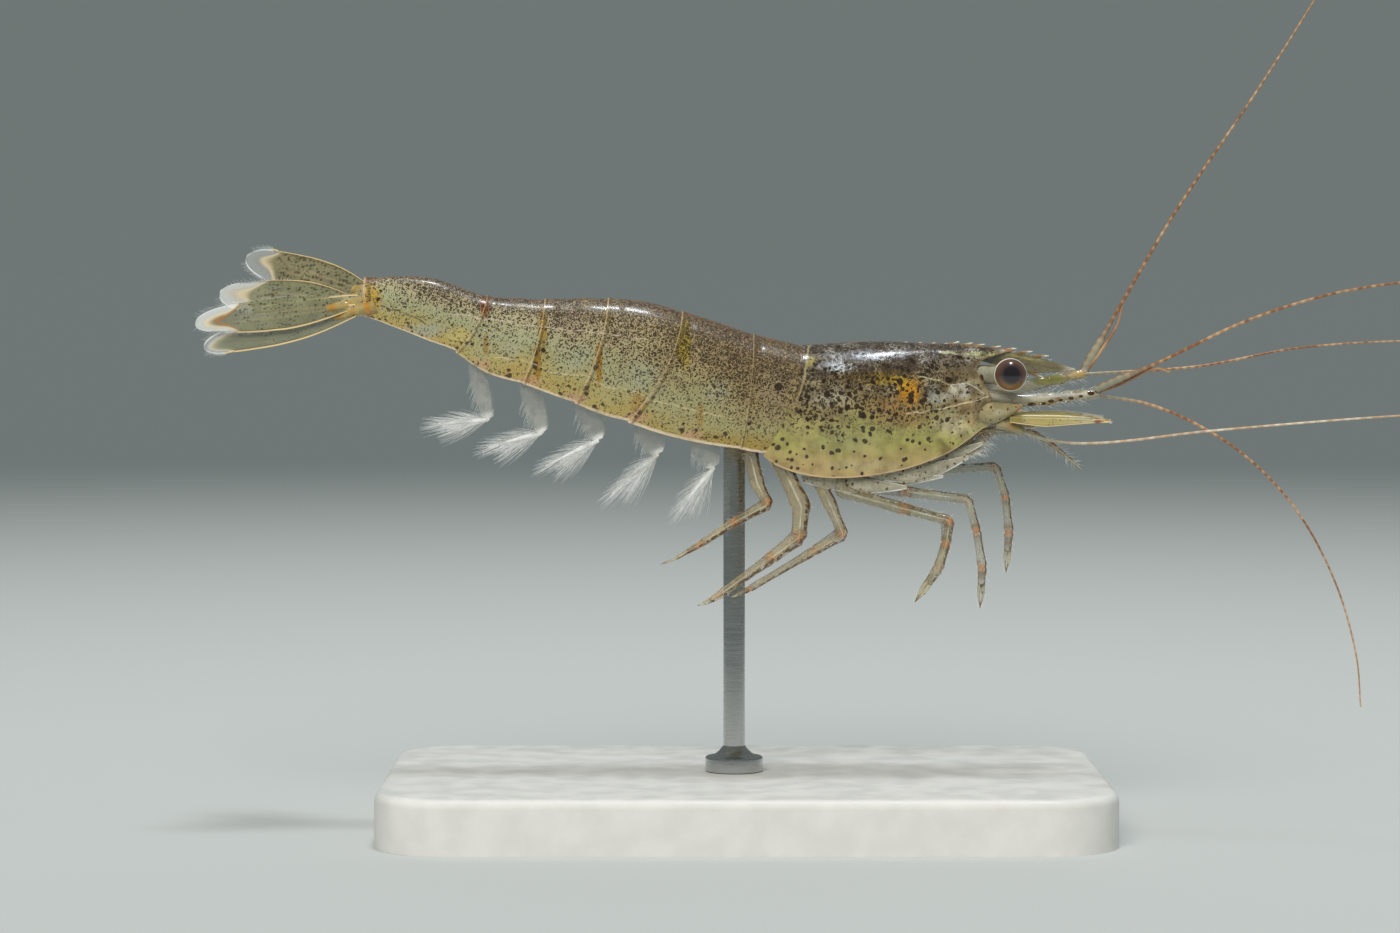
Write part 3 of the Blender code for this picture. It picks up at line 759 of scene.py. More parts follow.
class Coat(NodeSheet):
    """The sheet of one material, and the colour laid on it so far."""

    def __init__(self, name: str, gloss: Gloss, groups: SharedGroups) -> None:
        """Start a material.

        Args:
            name: its name.
            gloss: the constants of its shader.
            groups: the shared node groups.
        """
        self.material = bpy.data.materials.new(name)
        self.material.use_nodes = True
        super().__init__(self.material.node_tree)
        self.groups = groups
        for label, value in gloss.sockets().items():
            self.set(label, value)
        self.place = self.add("TexCoord").outputs["Object"]
        self.colour: Source = COLOURS.white

    def set(self, label: str, value: Source) -> None:
        """Feed an input of the shader."""
        self.feed(self.tree.nodes["Principled BSDF"].inputs[label], value)

    def group(self, group: Tree, **feeds: Source) -> Socket:
        """Place a shared group and feed its inputs.

        Args:
            group: the shared group.
            feeds: its inputs; it reads the place on the model if no vector is given.

        Returns:
            Its output.
        """
        node = self.add("Group", node_tree=group)
        for label, source in ({"Vector": self.place} | feeds).items():
            self.feed(node.inputs[label], source)
        return node.outputs[0]

    def cloud(self, scale: float, detail: float = 3.0) -> Socket:
        """Cloudy variation over the model, from 0 to 1 about 0.5."""
        return self.noise(self.place, scale, detail)

    def specks(self, scale: float, size: Source, wobble: float) -> Socket:
        """Where pigment spots lie; a larger scale sets them closer."""
        return self.group(self.groups.specks, Scale=scale, Size=size, Wobble=wobble)

    def net(self, scale: float, gap: Source) -> Socket:
        """Where the dark cells lie between the gaps of a pale net."""
        return self.group(self.groups.net, Scale=scale, Gap=gap)

    def relief(self, height: Source, depth: float) -> None:
        """Give the surface its fine pits and waves, and a height of its own."""
        self.set("Normal", self.group(self.groups.relief, Height=height, Depth=depth))

    def axis(self, index: int, vector: Source | None = None) -> Socket:
        """One number of a vector, or of the place on the model in metres."""
        return self.add("SeparateXYZ", {0: vector or self.place}).outputs[index]

    def flat(self) -> Socket:
        """The place on the model, flattened against the middle plane."""
        return self.add("CombineXYZ", {0: self.axis(0), 1: 0.0, 2: self.axis(2)}).outputs[0]

    def height(self) -> Socket:
        """The height on the model, in millimetres."""
        return self.math("DIVIDE", self.axis(2), MM)

    def shape(self, index: int) -> Socket:
        """The piece's own map: 0 for the share along it and 1 for the share across or round it."""
        return self.axis(index, self.add("UVMap", uv_map=SHAPE_MAP).outputs[0])

    def from_back(self) -> Socket:
        """The share of the way from the back, 0, down to either lower margin, 1."""
        return self.math("ABSOLUTE", self.times(self.less(self.shape(1), 0.5), 2.0))

    def attribute(self, name: str) -> Socket:
        """A number kept on the piece's vertices."""
        return self.add("Attribute", attribute_name=name, attribute_type="GEOMETRY").outputs["Fac"]

    def facing(self) -> Socket:
        """How far the surface turns away from the eye, which makes thin shells look denser."""
        return self.add("LayerWeight", {"Blend": 0.35}).outputs["Facing"]

    def over(self, colour: Source, *masks: Source) -> None:
        """Lay a colour over the last one, where all the masks are."""
        self.colour = self.mix(self.times(*masks), self.colour, colour)

    def stain(self, colour: Source, mask: Source) -> None:
        """Multiply the last colour by another, where the mask is."""
        self.over(self.mix(1.0, self.colour, colour, "MULTIPLY"), mask)

    def clouded(self, cloud: Socket, colour: Colour, darker: float) -> None:
        """Start with a colour that a cloud darkens in places."""
        self.colour = self.mix(self.span(cloud, 0.35, 0.65), colour, tuple(darker * part for part in colour))

    def patches(self, patches: Sequence[Patch]) -> Source:
        """Paint patches over the last colour.

        Args:
            patches: the patches, the last one on top.

        Returns:
            Where they lie.
        """
        cover: Source = 0.0
        flat = self.flat() if patches else None
        for patch in patches:
            centre = (patch.centre[0] * MM, 0.0, patch.centre[1] * MM)
            reach = (patch.reach[0] * MM, 1.0, patch.reach[1] * MM)
            feeds = {"Vector": flat, "Centre": centre, "Reach": reach, "Ragged": patch.ragged, "Soft": patch.soft}
            mask = self.times(self.group(self.groups.patch, **feeds), patch.strength)
            cover = self.most(cover, mask)
            self.over(patch.colour, mask)
        return cover

    def strokes(self, strokes: Sequence[Stroke]) -> None:
        """Draw thin, broken lines over the last colour.

        Args:
            strokes: the lines, the last one on top.
        """
        flat = self.flat()
        along, height = (self.math("DIVIDE", self.axis(k, flat), MM) for k in (0, 2))
        height = self.plus(height, self.span(self.noise(flat, 1400.0), 0.25, 0.75, -0.06, 0.06))
        broken = self.span(self.noise(flat, 2600.0), 0.38, 0.56, 0.3, 1.0)
        for stroke in strokes:
            low, high = stroke.points[0][0], stroke.points[-1][0]
            line = self.near(height, self.graph(along, stroke.points), stroke.width)
            ends = self.times(self.span(along, low, low + 0.15), self.span(along, high, high - 0.15))
            self.over(stroke.colour, line, ends, broken, stroke.strength)


# ---------------------------------------------------------------- finishes


@dataclass(frozen=True)
class Finish:
    """The recipe of one material; each kind paints in its own way."""

    name: str
    gloss: Gloss

    def make(self, groups: SharedGroups) -> Material:
        """Build the material.

        Args:
            groups: the shared node groups.

        Returns:
            The material.
        """
        coat = Coat(self.name, self.gloss, groups)
        self.paint(coat)
        coat.set("Base Color", coat.colour)
        return coat.material

    def paint(self, coat: Coat) -> None:
        """Paint the coat; a plain finish has nothing to paint."""


@dataclass(frozen=True)
class TergiteFinish(Finish):
    """The rings of the abdomen: dark, netted back, sage flanks, golden joints, cream lines and a painted shadow line
    before each rear rim.
    """

    name: str = "tergite_shell"
    gloss: Gloss = Gloss(roughness=0.38, coat=0.26, coat_roughness=0.12, subsurface=0.2)
    shades: tuple[tuple[float, Colour], ...] = (
        (0.0, (0.37, 0.28, 0.22)),
        (0.22, (0.39, 0.31, 0.19)),
        (0.42, (0.45, 0.38, 0.21)),
        (0.64, (0.43, 0.43, 0.23)),
        (0.84, (0.45, 0.35, 0.09)),
        (1.0, (0.48, 0.33, 0.08)),
    )
    lines: tuple[Stroke, ...] = (
        Stroke(((-16.3, 28.5), (-14.05, 28.2), (-12.5, 27.9), (-8.9, 27.55), (-5.4, 27.1)),
               0.05, (0.74, 0.56, 0.42), 0.75),
        Stroke(((-13.9, 26.1), (-11.9, 25.85), (-10.6, 25.3), (-8.6, 25.05), (-7.8, 24.55), (-6.0, 24.25),
                (-5.3, 23.8), (-2.4, 23.1), (-0.6, 22.75)), 0.05, (0.72, 0.58, 0.30), 0.8),
        Stroke(((-20.2, 28.9), (-19.0, 28.6), (-17.6, 27.95)), 0.07, (0.06, 0.03, 0.01), 0.8),
    )
    patches: tuple[Patch, ...] = (
        Patch((-12.9, 26.6), (1.0, 1.0), (0.46, 0.45, 0.28), 0.65, 0.9, 0.9),
        Patch((-9.2, 26.2), (1.1, 1.1), (0.44, 0.44, 0.28), 0.7, 0.9, 0.9),
        Patch((-5.6, 25.2), (1.4, 1.1), (0.42, 0.43, 0.27), 0.7, 0.9, 0.9),
        Patch((-1.5, 24.2), (1.3, 1.1), (0.42, 0.42, 0.26), 0.65, 0.9, 0.9),
        Patch((-11.15, 27.6), (0.36, 1.7), (0.34, 0.20, 0.015), 0.85),
        Patch((-11.45, 25.8), (0.27, 1.3), (0.34, 0.17, 0.01), 0.95, 0.5, 0.4),
        Patch((-7.6, 28.5), (0.42, 0.9), (0.28, 0.19, 0.03), 0.6),
        Patch((-8.05, 25.7), (0.23, 1.5), (0.36, 0.18, 0.012), 0.95, 0.5, 0.4),
        Patch((-3.4, 26.9), (0.55, 1.9), (0.38, 0.27, 0.02), 0.9),
        Patch((-5.9, 23.6), (0.5, 0.9), (0.40, 0.22, 0.03), 0.75),
        Patch((-2.5, 22.9), (0.3, 1.0), (0.36, 0.20, 0.03), 0.75),
        Patch((-14.35, 28.9), (0.36, 0.75), (0.34, 0.06, 0.008), 0.9),
        Patch((-14.3, 26.8), (0.22, 0.9), (0.34, 0.17, 0.015), 0.85),
        Patch((-15.8, 27.3), (0.9, 0.6), (0.62, 0.50, 0.15), 0.7),
        Patch((-17.6, 27.6), (1.8, 0.6), (0.36, 0.40, 0.32), 0.7, 0.9, 0.9),
        Patch((-20.7, 29.3), (0.8, 1.2), (0.60, 0.36, 0.04), 0.85),
        Patch((-20.9, 30.35), (0.7, 0.25), (0.40, 0.10, 0.01), 0.85),
        Patch((-14.5, 25.7), (0.75, 0.4), (0.56, 0.32, 0.16), 0.8),
        Patch((-11.9, 24.75), (0.8, 0.45), (0.54, 0.29, 0.12), 0.85),
        Patch((-9.3, 23.85), (0.8, 0.4), (0.56, 0.32, 0.17), 0.75),
        Patch((-5.9, 22.8), (0.9, 0.45), (0.54, 0.30, 0.15), 0.8),
        Patch((-2.9, 21.85), (0.8, 0.4), (0.54, 0.30, 0.15), 0.8),
        Patch((1.6, 24.4), (1.7, 2.0), (0.30, 0.22, 0.12), 0.7, 0.8, 0.8),
        Patch((1.8, 24.5), (0.25, 0.24), (0.02, 0.01, 0.004), 0.96, 0.2, 0.25),
    )

    def paint(self, coat: Coat) -> None:
        """Paint the rings from their deep tones up to their margins.

        Args:
            coat: the material's sheet.
        """
        along, down = coat.shape(0), coat.from_back()
        cloud = coat.cloud(330.0, 4.0)
        fore = coat.span(coat.axis(0), -0.013, 0.001)
        soft = coat.plus(down, coat.span(cloud, 0.2, 0.8, -0.16, 0.16))
        soft = coat.less(soft, coat.times(fore, 0.14))
        coat.colour = coat.ramp(soft, *self.shades)
        coat.stain((0.86, 0.76, 0.55), fore)
        coat.patches(self.patches)

        netted = coat.net(4900.0, coat.span(soft, 0.05, 0.85, 0.08, 0.31))
        netted = coat.times(netted, coat.span(soft, 0.30, 0.85, 0.95, 0.75))
        coat.over(COLOURS.dusk, netted)
        joint = coat.times(coat.near(along, 0.93, 0.13), coat.span(down, 0.3, 0.6))
        crowd = coat.span(coat.most(joint, coat.span(down, 0.80, 0.95)), 0.0, 1.0, 0.10, 0.32)
        coat.over(COLOURS.speck, coat.specks(2700.0, coat.span(soft, 0.3, 0.9, 0.16, 0.25), 0.7), 0.9)
        coat.over(COLOURS.speck, coat.specks(2100.0, crowd, 0.5), 0.95)
        coat.strokes(self.lines)

        coat.over((0.80, 0.62, 0.40), coat.span(down, 0.973, 0.985), coat.span(cloud, 0.36, 0.5, 0.45, 1.0))
        rusty = coat.span(coat.cloud(1700.0), 0.44, 0.58, 0.1, 0.75)
        coat.over((0.27, 0.105, 0.025), coat.span(down, 0.13, 0.04), rusty)
        # Painted shadow: a dark line just before each ring's rear rim.
        coat.over((0.13, 0.085, 0.03), coat.near(along, 0.955, 0.022), coat.span(cloud, 0.3, 0.5, 0.25, 0.6))
        coat.over(COLOURS.cream, coat.span(along, 0.978, 0.990), coat.span(cloud, 0.35, 0.6, 0.3, 0.75))
        coat.set("Roughness", coat.span(cloud, 0.3, 0.7, 0.26, 0.42))
        coat.relief(netted, 0.000040)


@dataclass(frozen=True)
class CarapaceFinish(Finish):
    """The head shield: dark insides high up, round spots on a moss green flank below, and painted bluish sheen
    highlights on top.
    """

    name: str = "carapace_shell"
    gloss: Gloss = Gloss(roughness=0.36, coat=0.28, coat_roughness=0.13, subsurface=0.2)
    shades: tuple[tuple[float, Colour], ...] = (
        (0.0, (0.46, 0.32, 0.12)),
        (0.16, (0.37, 0.34, 0.08)),
        (0.36, (0.31, 0.27, 0.09)),
        (0.56, (0.26, 0.19, 0.08)),
        (0.80, (0.27, 0.22, 0.12)),
        (1.0, (0.36, 0.33, 0.29)),
    )
    lines: tuple[Stroke, ...] = (
        Stroke(((8.7, 23.0), (10.6, 23.3), (12.1, 23.6), (13.5, 24.0)), 0.05, (0.75, 0.62, 0.42), 0.85),
        Stroke(((10.6, 26.4), (12.6, 26.25), (13.0, 26.2)), 0.09, (0.60, 0.58, 0.30), 0.7),
        Stroke(((9.4, 25.1), (10.6, 24.85), (11.3, 24.5), (11.9, 23.9)), 0.06, (0.66, 0.58, 0.36), 0.6),
        Stroke(((10.7, 23.6), (11.3, 24.55), (12.2, 24.7), (13.2, 24.1)), 0.05, (0.70, 0.66, 0.50), 0.6),
    )
    patches: tuple[Patch, ...] = (
        Patch((7.0, 25.3), (4.4, 1.0), (0.18, 0.13, 0.06), 0.75, 0.8, 0.7),
        Patch((7.6, 25.0), (2.6, 0.6), (0.42, 0.27, 0.02), 0.75, 1.2, 0.8),
        Patch((3.8, 26.1), (0.9, 0.5), (0.36, 0.26, 0.03), 0.7, 1.0, 0.7),
        # Near-white bluish patches high on the shield: painted sheen highlights.
        Patch((4.9, 25.6), (1.4, 0.5), (0.95, 0.98, 1.0), 0.9, 1.2, 0.8),
        Patch((6.8, 26.2), (2.4, 0.4), (0.80, 0.88, 1.0), 0.8, 1.2, 0.8),
        Patch((4.7, 24.0), (1.7, 0.8), (0.44, 0.40, 0.29), 0.6, 1.0, 0.9),
        Patch((8.0, 23.3), (2.2, 1.0), (0.33, 0.17, 0.045), 0.65, 1.0, 0.9),
        Patch((8.9, 24.6), (1.0, 0.8), (0.62, 0.32, 0.01), 0.8, 1.0, 0.8),
        Patch((8.9, 22.8), (2.2, 0.9), (0.34, 0.19, 0.05), 0.6, 0.9, 0.8),
        Patch((10.3, 24.2), (0.6, 0.6), (0.34, 0.35, 0.29), 0.75, 0.9, 0.7),
        Patch((11.9, 24.3), (0.9, 0.6), (0.74, 0.72, 0.60), 0.85, 1.5, 0.8),
        Patch((12.1, 23.2), (0.7, 0.35), (0.22, 0.12, 0.04), 0.8, 1.2, 0.7),
        Patch((13.4, 26.2), (1.5, 0.35), (0.36, 0.37, 0.16), 0.85, 0.5, 0.7),
        Patch((11.6, 22.4), (1.7, 1.1), (0.56, 0.47, 0.27), 0.8, 1.0, 0.9),
        Patch((12.4, 22.6), (0.5, 0.4), (0.40, 0.22, 0.08), 0.7, 1.3, 0.8),
        Patch((5.6, 21.5), (3.2, 1.3), (0.36, 0.35, 0.14), 0.5, 0.6, 0.9),
        Patch((6.4, 20.2), (3.0, 0.5), (0.50, 0.44, 0.24), 0.5, 0.9, 0.9),
        Patch((3.2, 22.4), (1.3, 1.5), (0.42, 0.35, 0.12), 0.6, 0.8, 0.8),
        Patch((2.6, 24.6), (0.5, 1.6), (0.50, 0.40, 0.20), 0.5, 0.9, 0.8),
    )
    # Orange and golden pigment, a pale grey patch, and bluish painted sheen highlights, laid over the net.
    pigment_and_sheen: tuple[Patch, ...] = (
        Patch((9.0, 24.15), (0.95, 1.0), (0.60, 0.26, 0.012), 0.85, 1.5, 0.9),
        Patch((8.2, 24.9), (1.1, 0.32), (0.46, 0.29, 0.02), 0.75, 1.8, 0.9),
        # Bluish painted sheen highlights.
        Patch((4.8, 25.65), (1.2, 0.45), (0.58, 0.62, 0.66), 0.4, 2.8, 1.0),
        Patch((6.6, 26.2), (2.2, 0.3), (0.52, 0.60, 0.72), 0.5, 2.4, 0.9),
        Patch((3.6, 25.9), (0.35, 0.5), (0.42, 0.34, 0.04), 0.7, 1.6, 0.7),
        Patch((10.5, 23.95), (0.9, 0.5), (0.42, 0.40, 0.31), 0.6, 2.6, 0.9),
    )

    def paint(self, coat: Coat) -> None:
        """Paint the shield from what shows through it up to its margins.

        Args:
            coat: the material's sheet.
        """
        along, down, height = coat.shape(0), coat.from_back(), coat.height()
        cloud, murk = coat.cloud(420.0, 4.0), coat.cloud(900.0)
        soft = coat.plus(height, coat.span(cloud, 0.2, 0.8, -0.7, 0.7))
        coat.colour = coat.ramp(coat.span(soft, 19.6, 27.0), *self.shades)
        coat.patches(self.patches)
        shade = coat.times(coat.span(murk, 0.60, 0.44), coat.span(height, 23.4, 24.6, 0.0, 0.8))
        coat.stain((0.28, 0.22, 0.17), shade)

        head = coat.span(along, 0.30, 0.16)
        mottle = ((0.36, (0.48, 0.38, 0.26)), (0.5, (1.0, 1.0, 1.0)), (0.64, (1.5, 1.5, 1.45)))
        coat.stain(coat.ramp(coat.cloud(1500.0, 4.0), *mottle), coat.span(head, 0.0, 1.0, 0.4, 0.9))
        gap = coat.plus(coat.span(soft, 22.2, 26.4, 0.27, 0.085), coat.times(head, 0.16))
        netted = coat.times(coat.net(3700.0, gap), coat.span(soft, 21.4, 22.8, 0.0, 0.94))
        netted = coat.times(netted, coat.span(along, 0.0, 0.10, 0.3, 1.0))
        coat.over(COLOURS.dusk, netted)
        # Lay the late pigment patches and the painted sheen highlights over the net.
        coat.patches(self.pigment_and_sheen)
        bare = coat.span(head, 0.0, 1.0, 1.0, 0.6)
        small = coat.times(coat.span(soft, 21.4, 22.6, 0.0, 0.36), bare)
        middling = coat.times(coat.span(soft, 18.8, 20.8, 0.0, 0.33), bare)
        coat.over(COLOURS.speck, coat.specks(3100.0, small, 0.6), 0.93)
        coat.over(COLOURS.speck, coat.specks(2250.0, middling, 0.5), 0.95)
        coat.over(COLOURS.speck, coat.specks(1500.0, coat.span(height, 19.7, 21.4, 0.19, 0.285), 0.4), 0.97)
        coat.strokes(self.lines)

        coat.over(COLOURS.cream, coat.span(down, 0.985, 0.993), coat.span(cloud, 0.36, 0.55, 0.2, 0.9))
        coat.over((0.28, 0.17, 0.06), coat.span(along, 0.009, 0.004), 0.55)
        rear = coat.near(coat.plus(along, coat.span(murk, 0.3, 0.7, -0.006, 0.006)), 0.975, 0.010)
        coat.over((0.58, 0.46, 0.20), rear, coat.span(height, 23.2, 24.6, 0.15, 0.48))
        coat.over((0.36, 0.13, 0.03), coat.span(down, 0.05, 0.02), coat.span(murk, 0.44, 0.56, 0.1, 0.9))
        coat.set("Roughness", coat.span(cloud, 0.3, 0.7, 0.22, 0.38))
        coat.relief(netted, 0.000060)


@dataclass(frozen=True)
class FleshFinish(Finish):
    """The soft skin between and under the plates."""

    name: str = "soft_skin"
    gloss: Gloss = Gloss(roughness=0.4, coat=0.3, subsurface=0.35)

    def paint(self, coat: Coat) -> None:
        """Paint the skin.

        Args:
            coat: the material's sheet.
        """
        cloud = coat.cloud(500.0)
        coat.colour = coat.ramp(cloud, (0.3, (0.42, 0.36, 0.20)), (0.55, (0.50, 0.42, 0.25)), (0.7, (0.52, 0.31, 0.18)))
        coat.over(COLOURS.rust, coat.specks(1700.0, 0.26, 0.6), 0.8)
        coat.relief(cloud, 0.00002)


@dataclass(frozen=True)
class GlassyFinish(Finish):
    """Clear, thin-walled shell whose edges look denser, with pigment along one side; on pale shells the edges carry a
    painted highlight.
    """

    gloss: Gloss = Gloss(roughness=0.18, coat=0.6, coat_roughness=0.05)
    body: Colour = COLOURS.glass
    joint: Colour = (0.46, 0.20, 0.04)
    speck: Colour = (0.10, 0.035, 0.008)
    rim: Colour = (0.24, 0.12, 0.035)
    band: Colour = (0.10, 0.045, 0.015)
    clear: float = 0.2
    dense: float = 1.0
    speck_size: float = 0.6
    speck_side: float = 0.25
    patches: tuple[Patch, ...] = ()

    def paint(self, coat: Coat) -> None:
        """Paint the shell, and make its bare parts clear.

        Args:
            coat: the material's sheet.
        """
        cloud, facing = coat.cloud(900.0), coat.facing()
        coat.clouded(cloud, self.body, 0.72)
        ridge = coat.span(coat.math("ABSOLUTE", coat.less(coat.shape(1), self.speck_side)), 0.20, 0.08)
        size = coat.times(coat.span(ridge, 0.0, 1.0, 0.25, 1.0), self.speck_size)
        specks = coat.specks(4200.0, size, 0.7)
        dots = coat.times(specks, coat.span(ridge, 0.0, 1.0, 0.55, 1.0))
        # Colour the edges with the rim colour: dark brown on most shells, orange on the tail roots, and a pale painted
        # edge highlight on the pleopods and mouth plates.
        coat.over(self.rim, coat.span(facing, 0.35, 0.9))
        wash = coat.math("MULTIPLY", coat.attribute("joint"), coat.span(cloud, 0.35, 0.65, 0.2, 1.0), clamp=True)
        bands = coat.times(coat.attribute("tip"), coat.span(cloud, 0.42, 0.56))
        coat.over(self.joint, wash)
        cover = coat.patches(self.patches)
        coat.over(self.speck, dots)
        coat.over(self.band, bands, 0.85)

        grain = coat.span(coat.cloud(2600.0, 2.0), 0.36, 0.64, 0.5 + 0.5 * self.clear, 1.5 - 0.5 * self.clear)
        glass = coat.math("MULTIPLY", coat.span(facing, 0.2, 0.9, self.clear, self.dense), grain, clamp=True)
        paint = coat.most(coat.times(dots, 0.95), coat.times(wash, 0.75), cover, coat.times(bands, 0.8))
        coat.set("Alpha", coat.most(glass, paint))
        coat.relief(specks, 0.000008)


@dataclass(frozen=True)
class StrandFinish(Finish):
    """The muscle and nerve strands seen through the clear limbs."""

    name: str = "inner_strand"
    gloss: Gloss = Gloss(roughness=0.5, subsurface=0.3)

    def paint(self, coat: Coat) -> None:
        """Paint the strands.

        Args:
            coat: the material's sheet.
        """
        cloud = coat.cloud(1300.0)
        coat.colour = coat.ramp(cloud, (0.35, (0.45, 0.39, 0.26)), (0.6, (0.70, 0.68, 0.58)))
        coat.relief(cloud, 0.00001)


@dataclass(frozen=True)
class EyeFinish(Finish):
    """The ball of the eye: dark middle, brown-violet ring, gold below, a pale rim and a dull cup."""

    name: str = "eye_ball"
    gloss: Gloss = Gloss(roughness=0.22, coat=0.7, coat_roughness=0.03)
    shades: tuple[tuple[float, Colour], ...] = (
        (0.0, (0.008, 0.006, 0.008)),
        (0.145, (0.009, 0.007, 0.011)),
        (0.175, (0.040, 0.020, 0.020)),
        (0.30, (0.105, 0.052, 0.030)),
        (0.43, (0.095, 0.055, 0.036)),
    )

    def paint(self, coat: Coat) -> None:
        """Paint the rings round the gaze, and the facets.

        Args:
            coat: the material's sheet.
        """
        polar = coat.attribute("polar")
        coat.colour = coat.ramp(polar, *self.shades)
        gold = coat.times(coat.span(coat.attribute("low"), 0.1, 0.9), coat.span(polar, 0.15, 0.26))
        coat.over((0.30, 0.145, 0.025), gold, 0.85)
        coat.over((0.95, 0.88, 0.82), coat.span(polar, 0.372, 0.392))
        cup = coat.ramp(coat.cloud(2400.0), (0.4, (0.16, 0.12, 0.07)), (0.6, (0.42, 0.38, 0.25)))
        coat.over(cup, coat.span(polar, 0.418, 0.45))
        facets = coat.add("TexVoronoi", {"Vector": coat.place, "Scale": 14000.0}, feature="DISTANCE_TO_EDGE")
        coat.relief(facets.outputs[0], 0.000002)


@dataclass(frozen=True)
class BladeFinish(Finish):
    """Thin clear blades: stiff cream edge, speckled middle, rusty inner line, white end."""

    gloss: Gloss = Gloss(roughness=0.34, coat=0.12, coat_roughness=0.1)
    body: Colour = (0.26, 0.26, 0.14)
    clear: float = 0.62
    rust: float = 0.9
    white_from: float = 0.82
    ribs: float = 0.35
    specks: float = 0.48
    fade: float = 0.04
    thin: float = 0.5
    patches: tuple[Patch, ...] = ()

    def paint(self, coat: Coat) -> None:
        """Paint the blade, and make its middle and its end clear.

        Args:
            coat: the material's sheet.
        """
        edge, end = coat.attribute("edge"), coat.attribute("end")
        rib = coat.times(coat.attribute("rib"), self.ribs)
        start = self.white_from
        cloud = coat.cloud(700.0)
        coat.clouded(cloud, self.body, 0.75)
        size = coat.times(coat.span(end, start, start - 0.25), self.specks)
        dots = coat.times(coat.specks(4600.0, size, 0.9), 0.9)
        coat.over((0.05, 0.042, 0.018), dots)
        coat.over(COLOURS.cream, rib, 0.8)
        belt = coat.times(coat.near(end, start - 0.045, 0.04), self.rust, coat.span(cloud, 0.35, 0.55, 0.35, 1.0))
        coat.over((0.36, 0.15, 0.035), belt)
        pale = coat.mix(coat.span(end, start, 0.9), (0.80, 0.66, 0.42), COLOURS.white)
        coat.over(pale, coat.span(end, start - self.fade, start + self.fade))
        # A dark line inside the stiff edge: partly the blade's own dark edge line, partly painted shadow that parts
        # overlapping blades.
        edge_line_and_shadow = coat.times(coat.near(edge, 0.28, 0.24), 0.75)
        coat.over((0.10, 0.06, 0.02), edge_line_and_shadow)
        cream = coat.span(edge, 0.5, 0.85)
        coat.over((0.78, 0.58, 0.28), cream, 0.9)
        cover = coat.patches(self.patches)

        paint = coat.times(coat.most(dots, cream, belt, rib, cover, edge_line_and_shadow), 0.97)
        thin = coat.span(end, start + 0.02, start + 0.12, 1.0, self.thin)
        brink = coat.times(coat.span(end, 0.96, 0.98), 0.6)
        coat.set("Alpha", coat.most(coat.times(coat.most(paint, self.clear), thin), brink))
        coat.relief(rib, 0.00002)


@dataclass(frozen=True)
class FeelerFinish(Finish):
    """Long feelers: a row of rusty and pale rings that fades to the tip."""

    gloss: Gloss = Gloss(roughness=0.35, coat=0.3)
    dark: Colour = (0.24, 0.10, 0.04)
    pale: Colour = (0.56, 0.36, 0.20)
    glass: Colour = (0.24, 0.27, 0.20)
    rings: float = 60.0

    def paint(self, coat: Coat) -> None:
        """Paint the rings, and the clear look of the root.

        Args:
            coat: the material's sheet.
        """
        along = coat.shape(0)
        wave = coat.math("SINE", coat.times(along, self.rings * 2.0 * math.pi))
        patchy = coat.span(coat.cloud(700.0, 2.0), 0.3, 0.7, -0.45, 0.6)
        share = coat.plus(coat.span(wave, -0.6, 0.9, 0.0, 0.55), patchy, clamp=True)
        coat.colour = coat.mix(share, self.dark, self.pale)
        coat.over(self.glass, coat.span(coat.facing(), 0.5, 0.15), coat.span(along, 0.14, 0.04, 0.0, 0.8))
        coat.over(self.pale, coat.span(along, 0.5, 1.0, 0.0, 0.5))
        coat.relief(wave, 0.000006)


@dataclass(frozen=True)
class HornFinish(Finish):
    """Hard spines and blades: olive, darker towards the teeth, with pale tips."""

    name: str = "rostrum_horn"
    gloss: Gloss = Gloss(roughness=0.25, coat=0.6, coat_roughness=0.06, subsurface=0.15)
    body: Colour = (0.22, 0.235, 0.12)
    dark: Colour = (0.24, 0.10, 0.02)
    tip: Colour = (0.90, 0.80, 0.62)
    clear: float = 0.6
    lines: tuple[Stroke, ...] = ()

    def paint(self, coat: Coat) -> None:
        """Paint the horn, and make its body clear in part.

        Args:
            coat: the material's sheet.
        """
        tooth, tip = coat.attribute("tooth"), coat.attribute("tip")
        cloud = coat.cloud(800.0)
        coat.clouded(cloud, self.body, 0.7)
        specks = coat.specks(2900.0, 0.3, 0.7)
        coat.over(COLOURS.speck, specks, 0.7)
        coat.strokes(self.lines)
        coat.over(self.dark, tooth)
        coat.over(self.tip, tip)
        coat.set("Alpha", coat.span(coat.most(tooth, tip, specks), 0.0, 1.0, self.clear, 1.0))
        coat.relief(cloud, 0.00001)


@dataclass(frozen=True)
class BristleFinish(Finish):
    """Fine, pale bristles."""

    gloss: Gloss = Gloss(roughness=0.35, coat=0.2)
    tip: Colour = (0.93, 0.94, 0.95)

    def paint(self, coat: Coat) -> None:
        """Let a cloud whiten the bristles in places."""
        coat.over(self.tip, coat.span(coat.cloud(1500.0, 2.0), 0.35, 0.65))


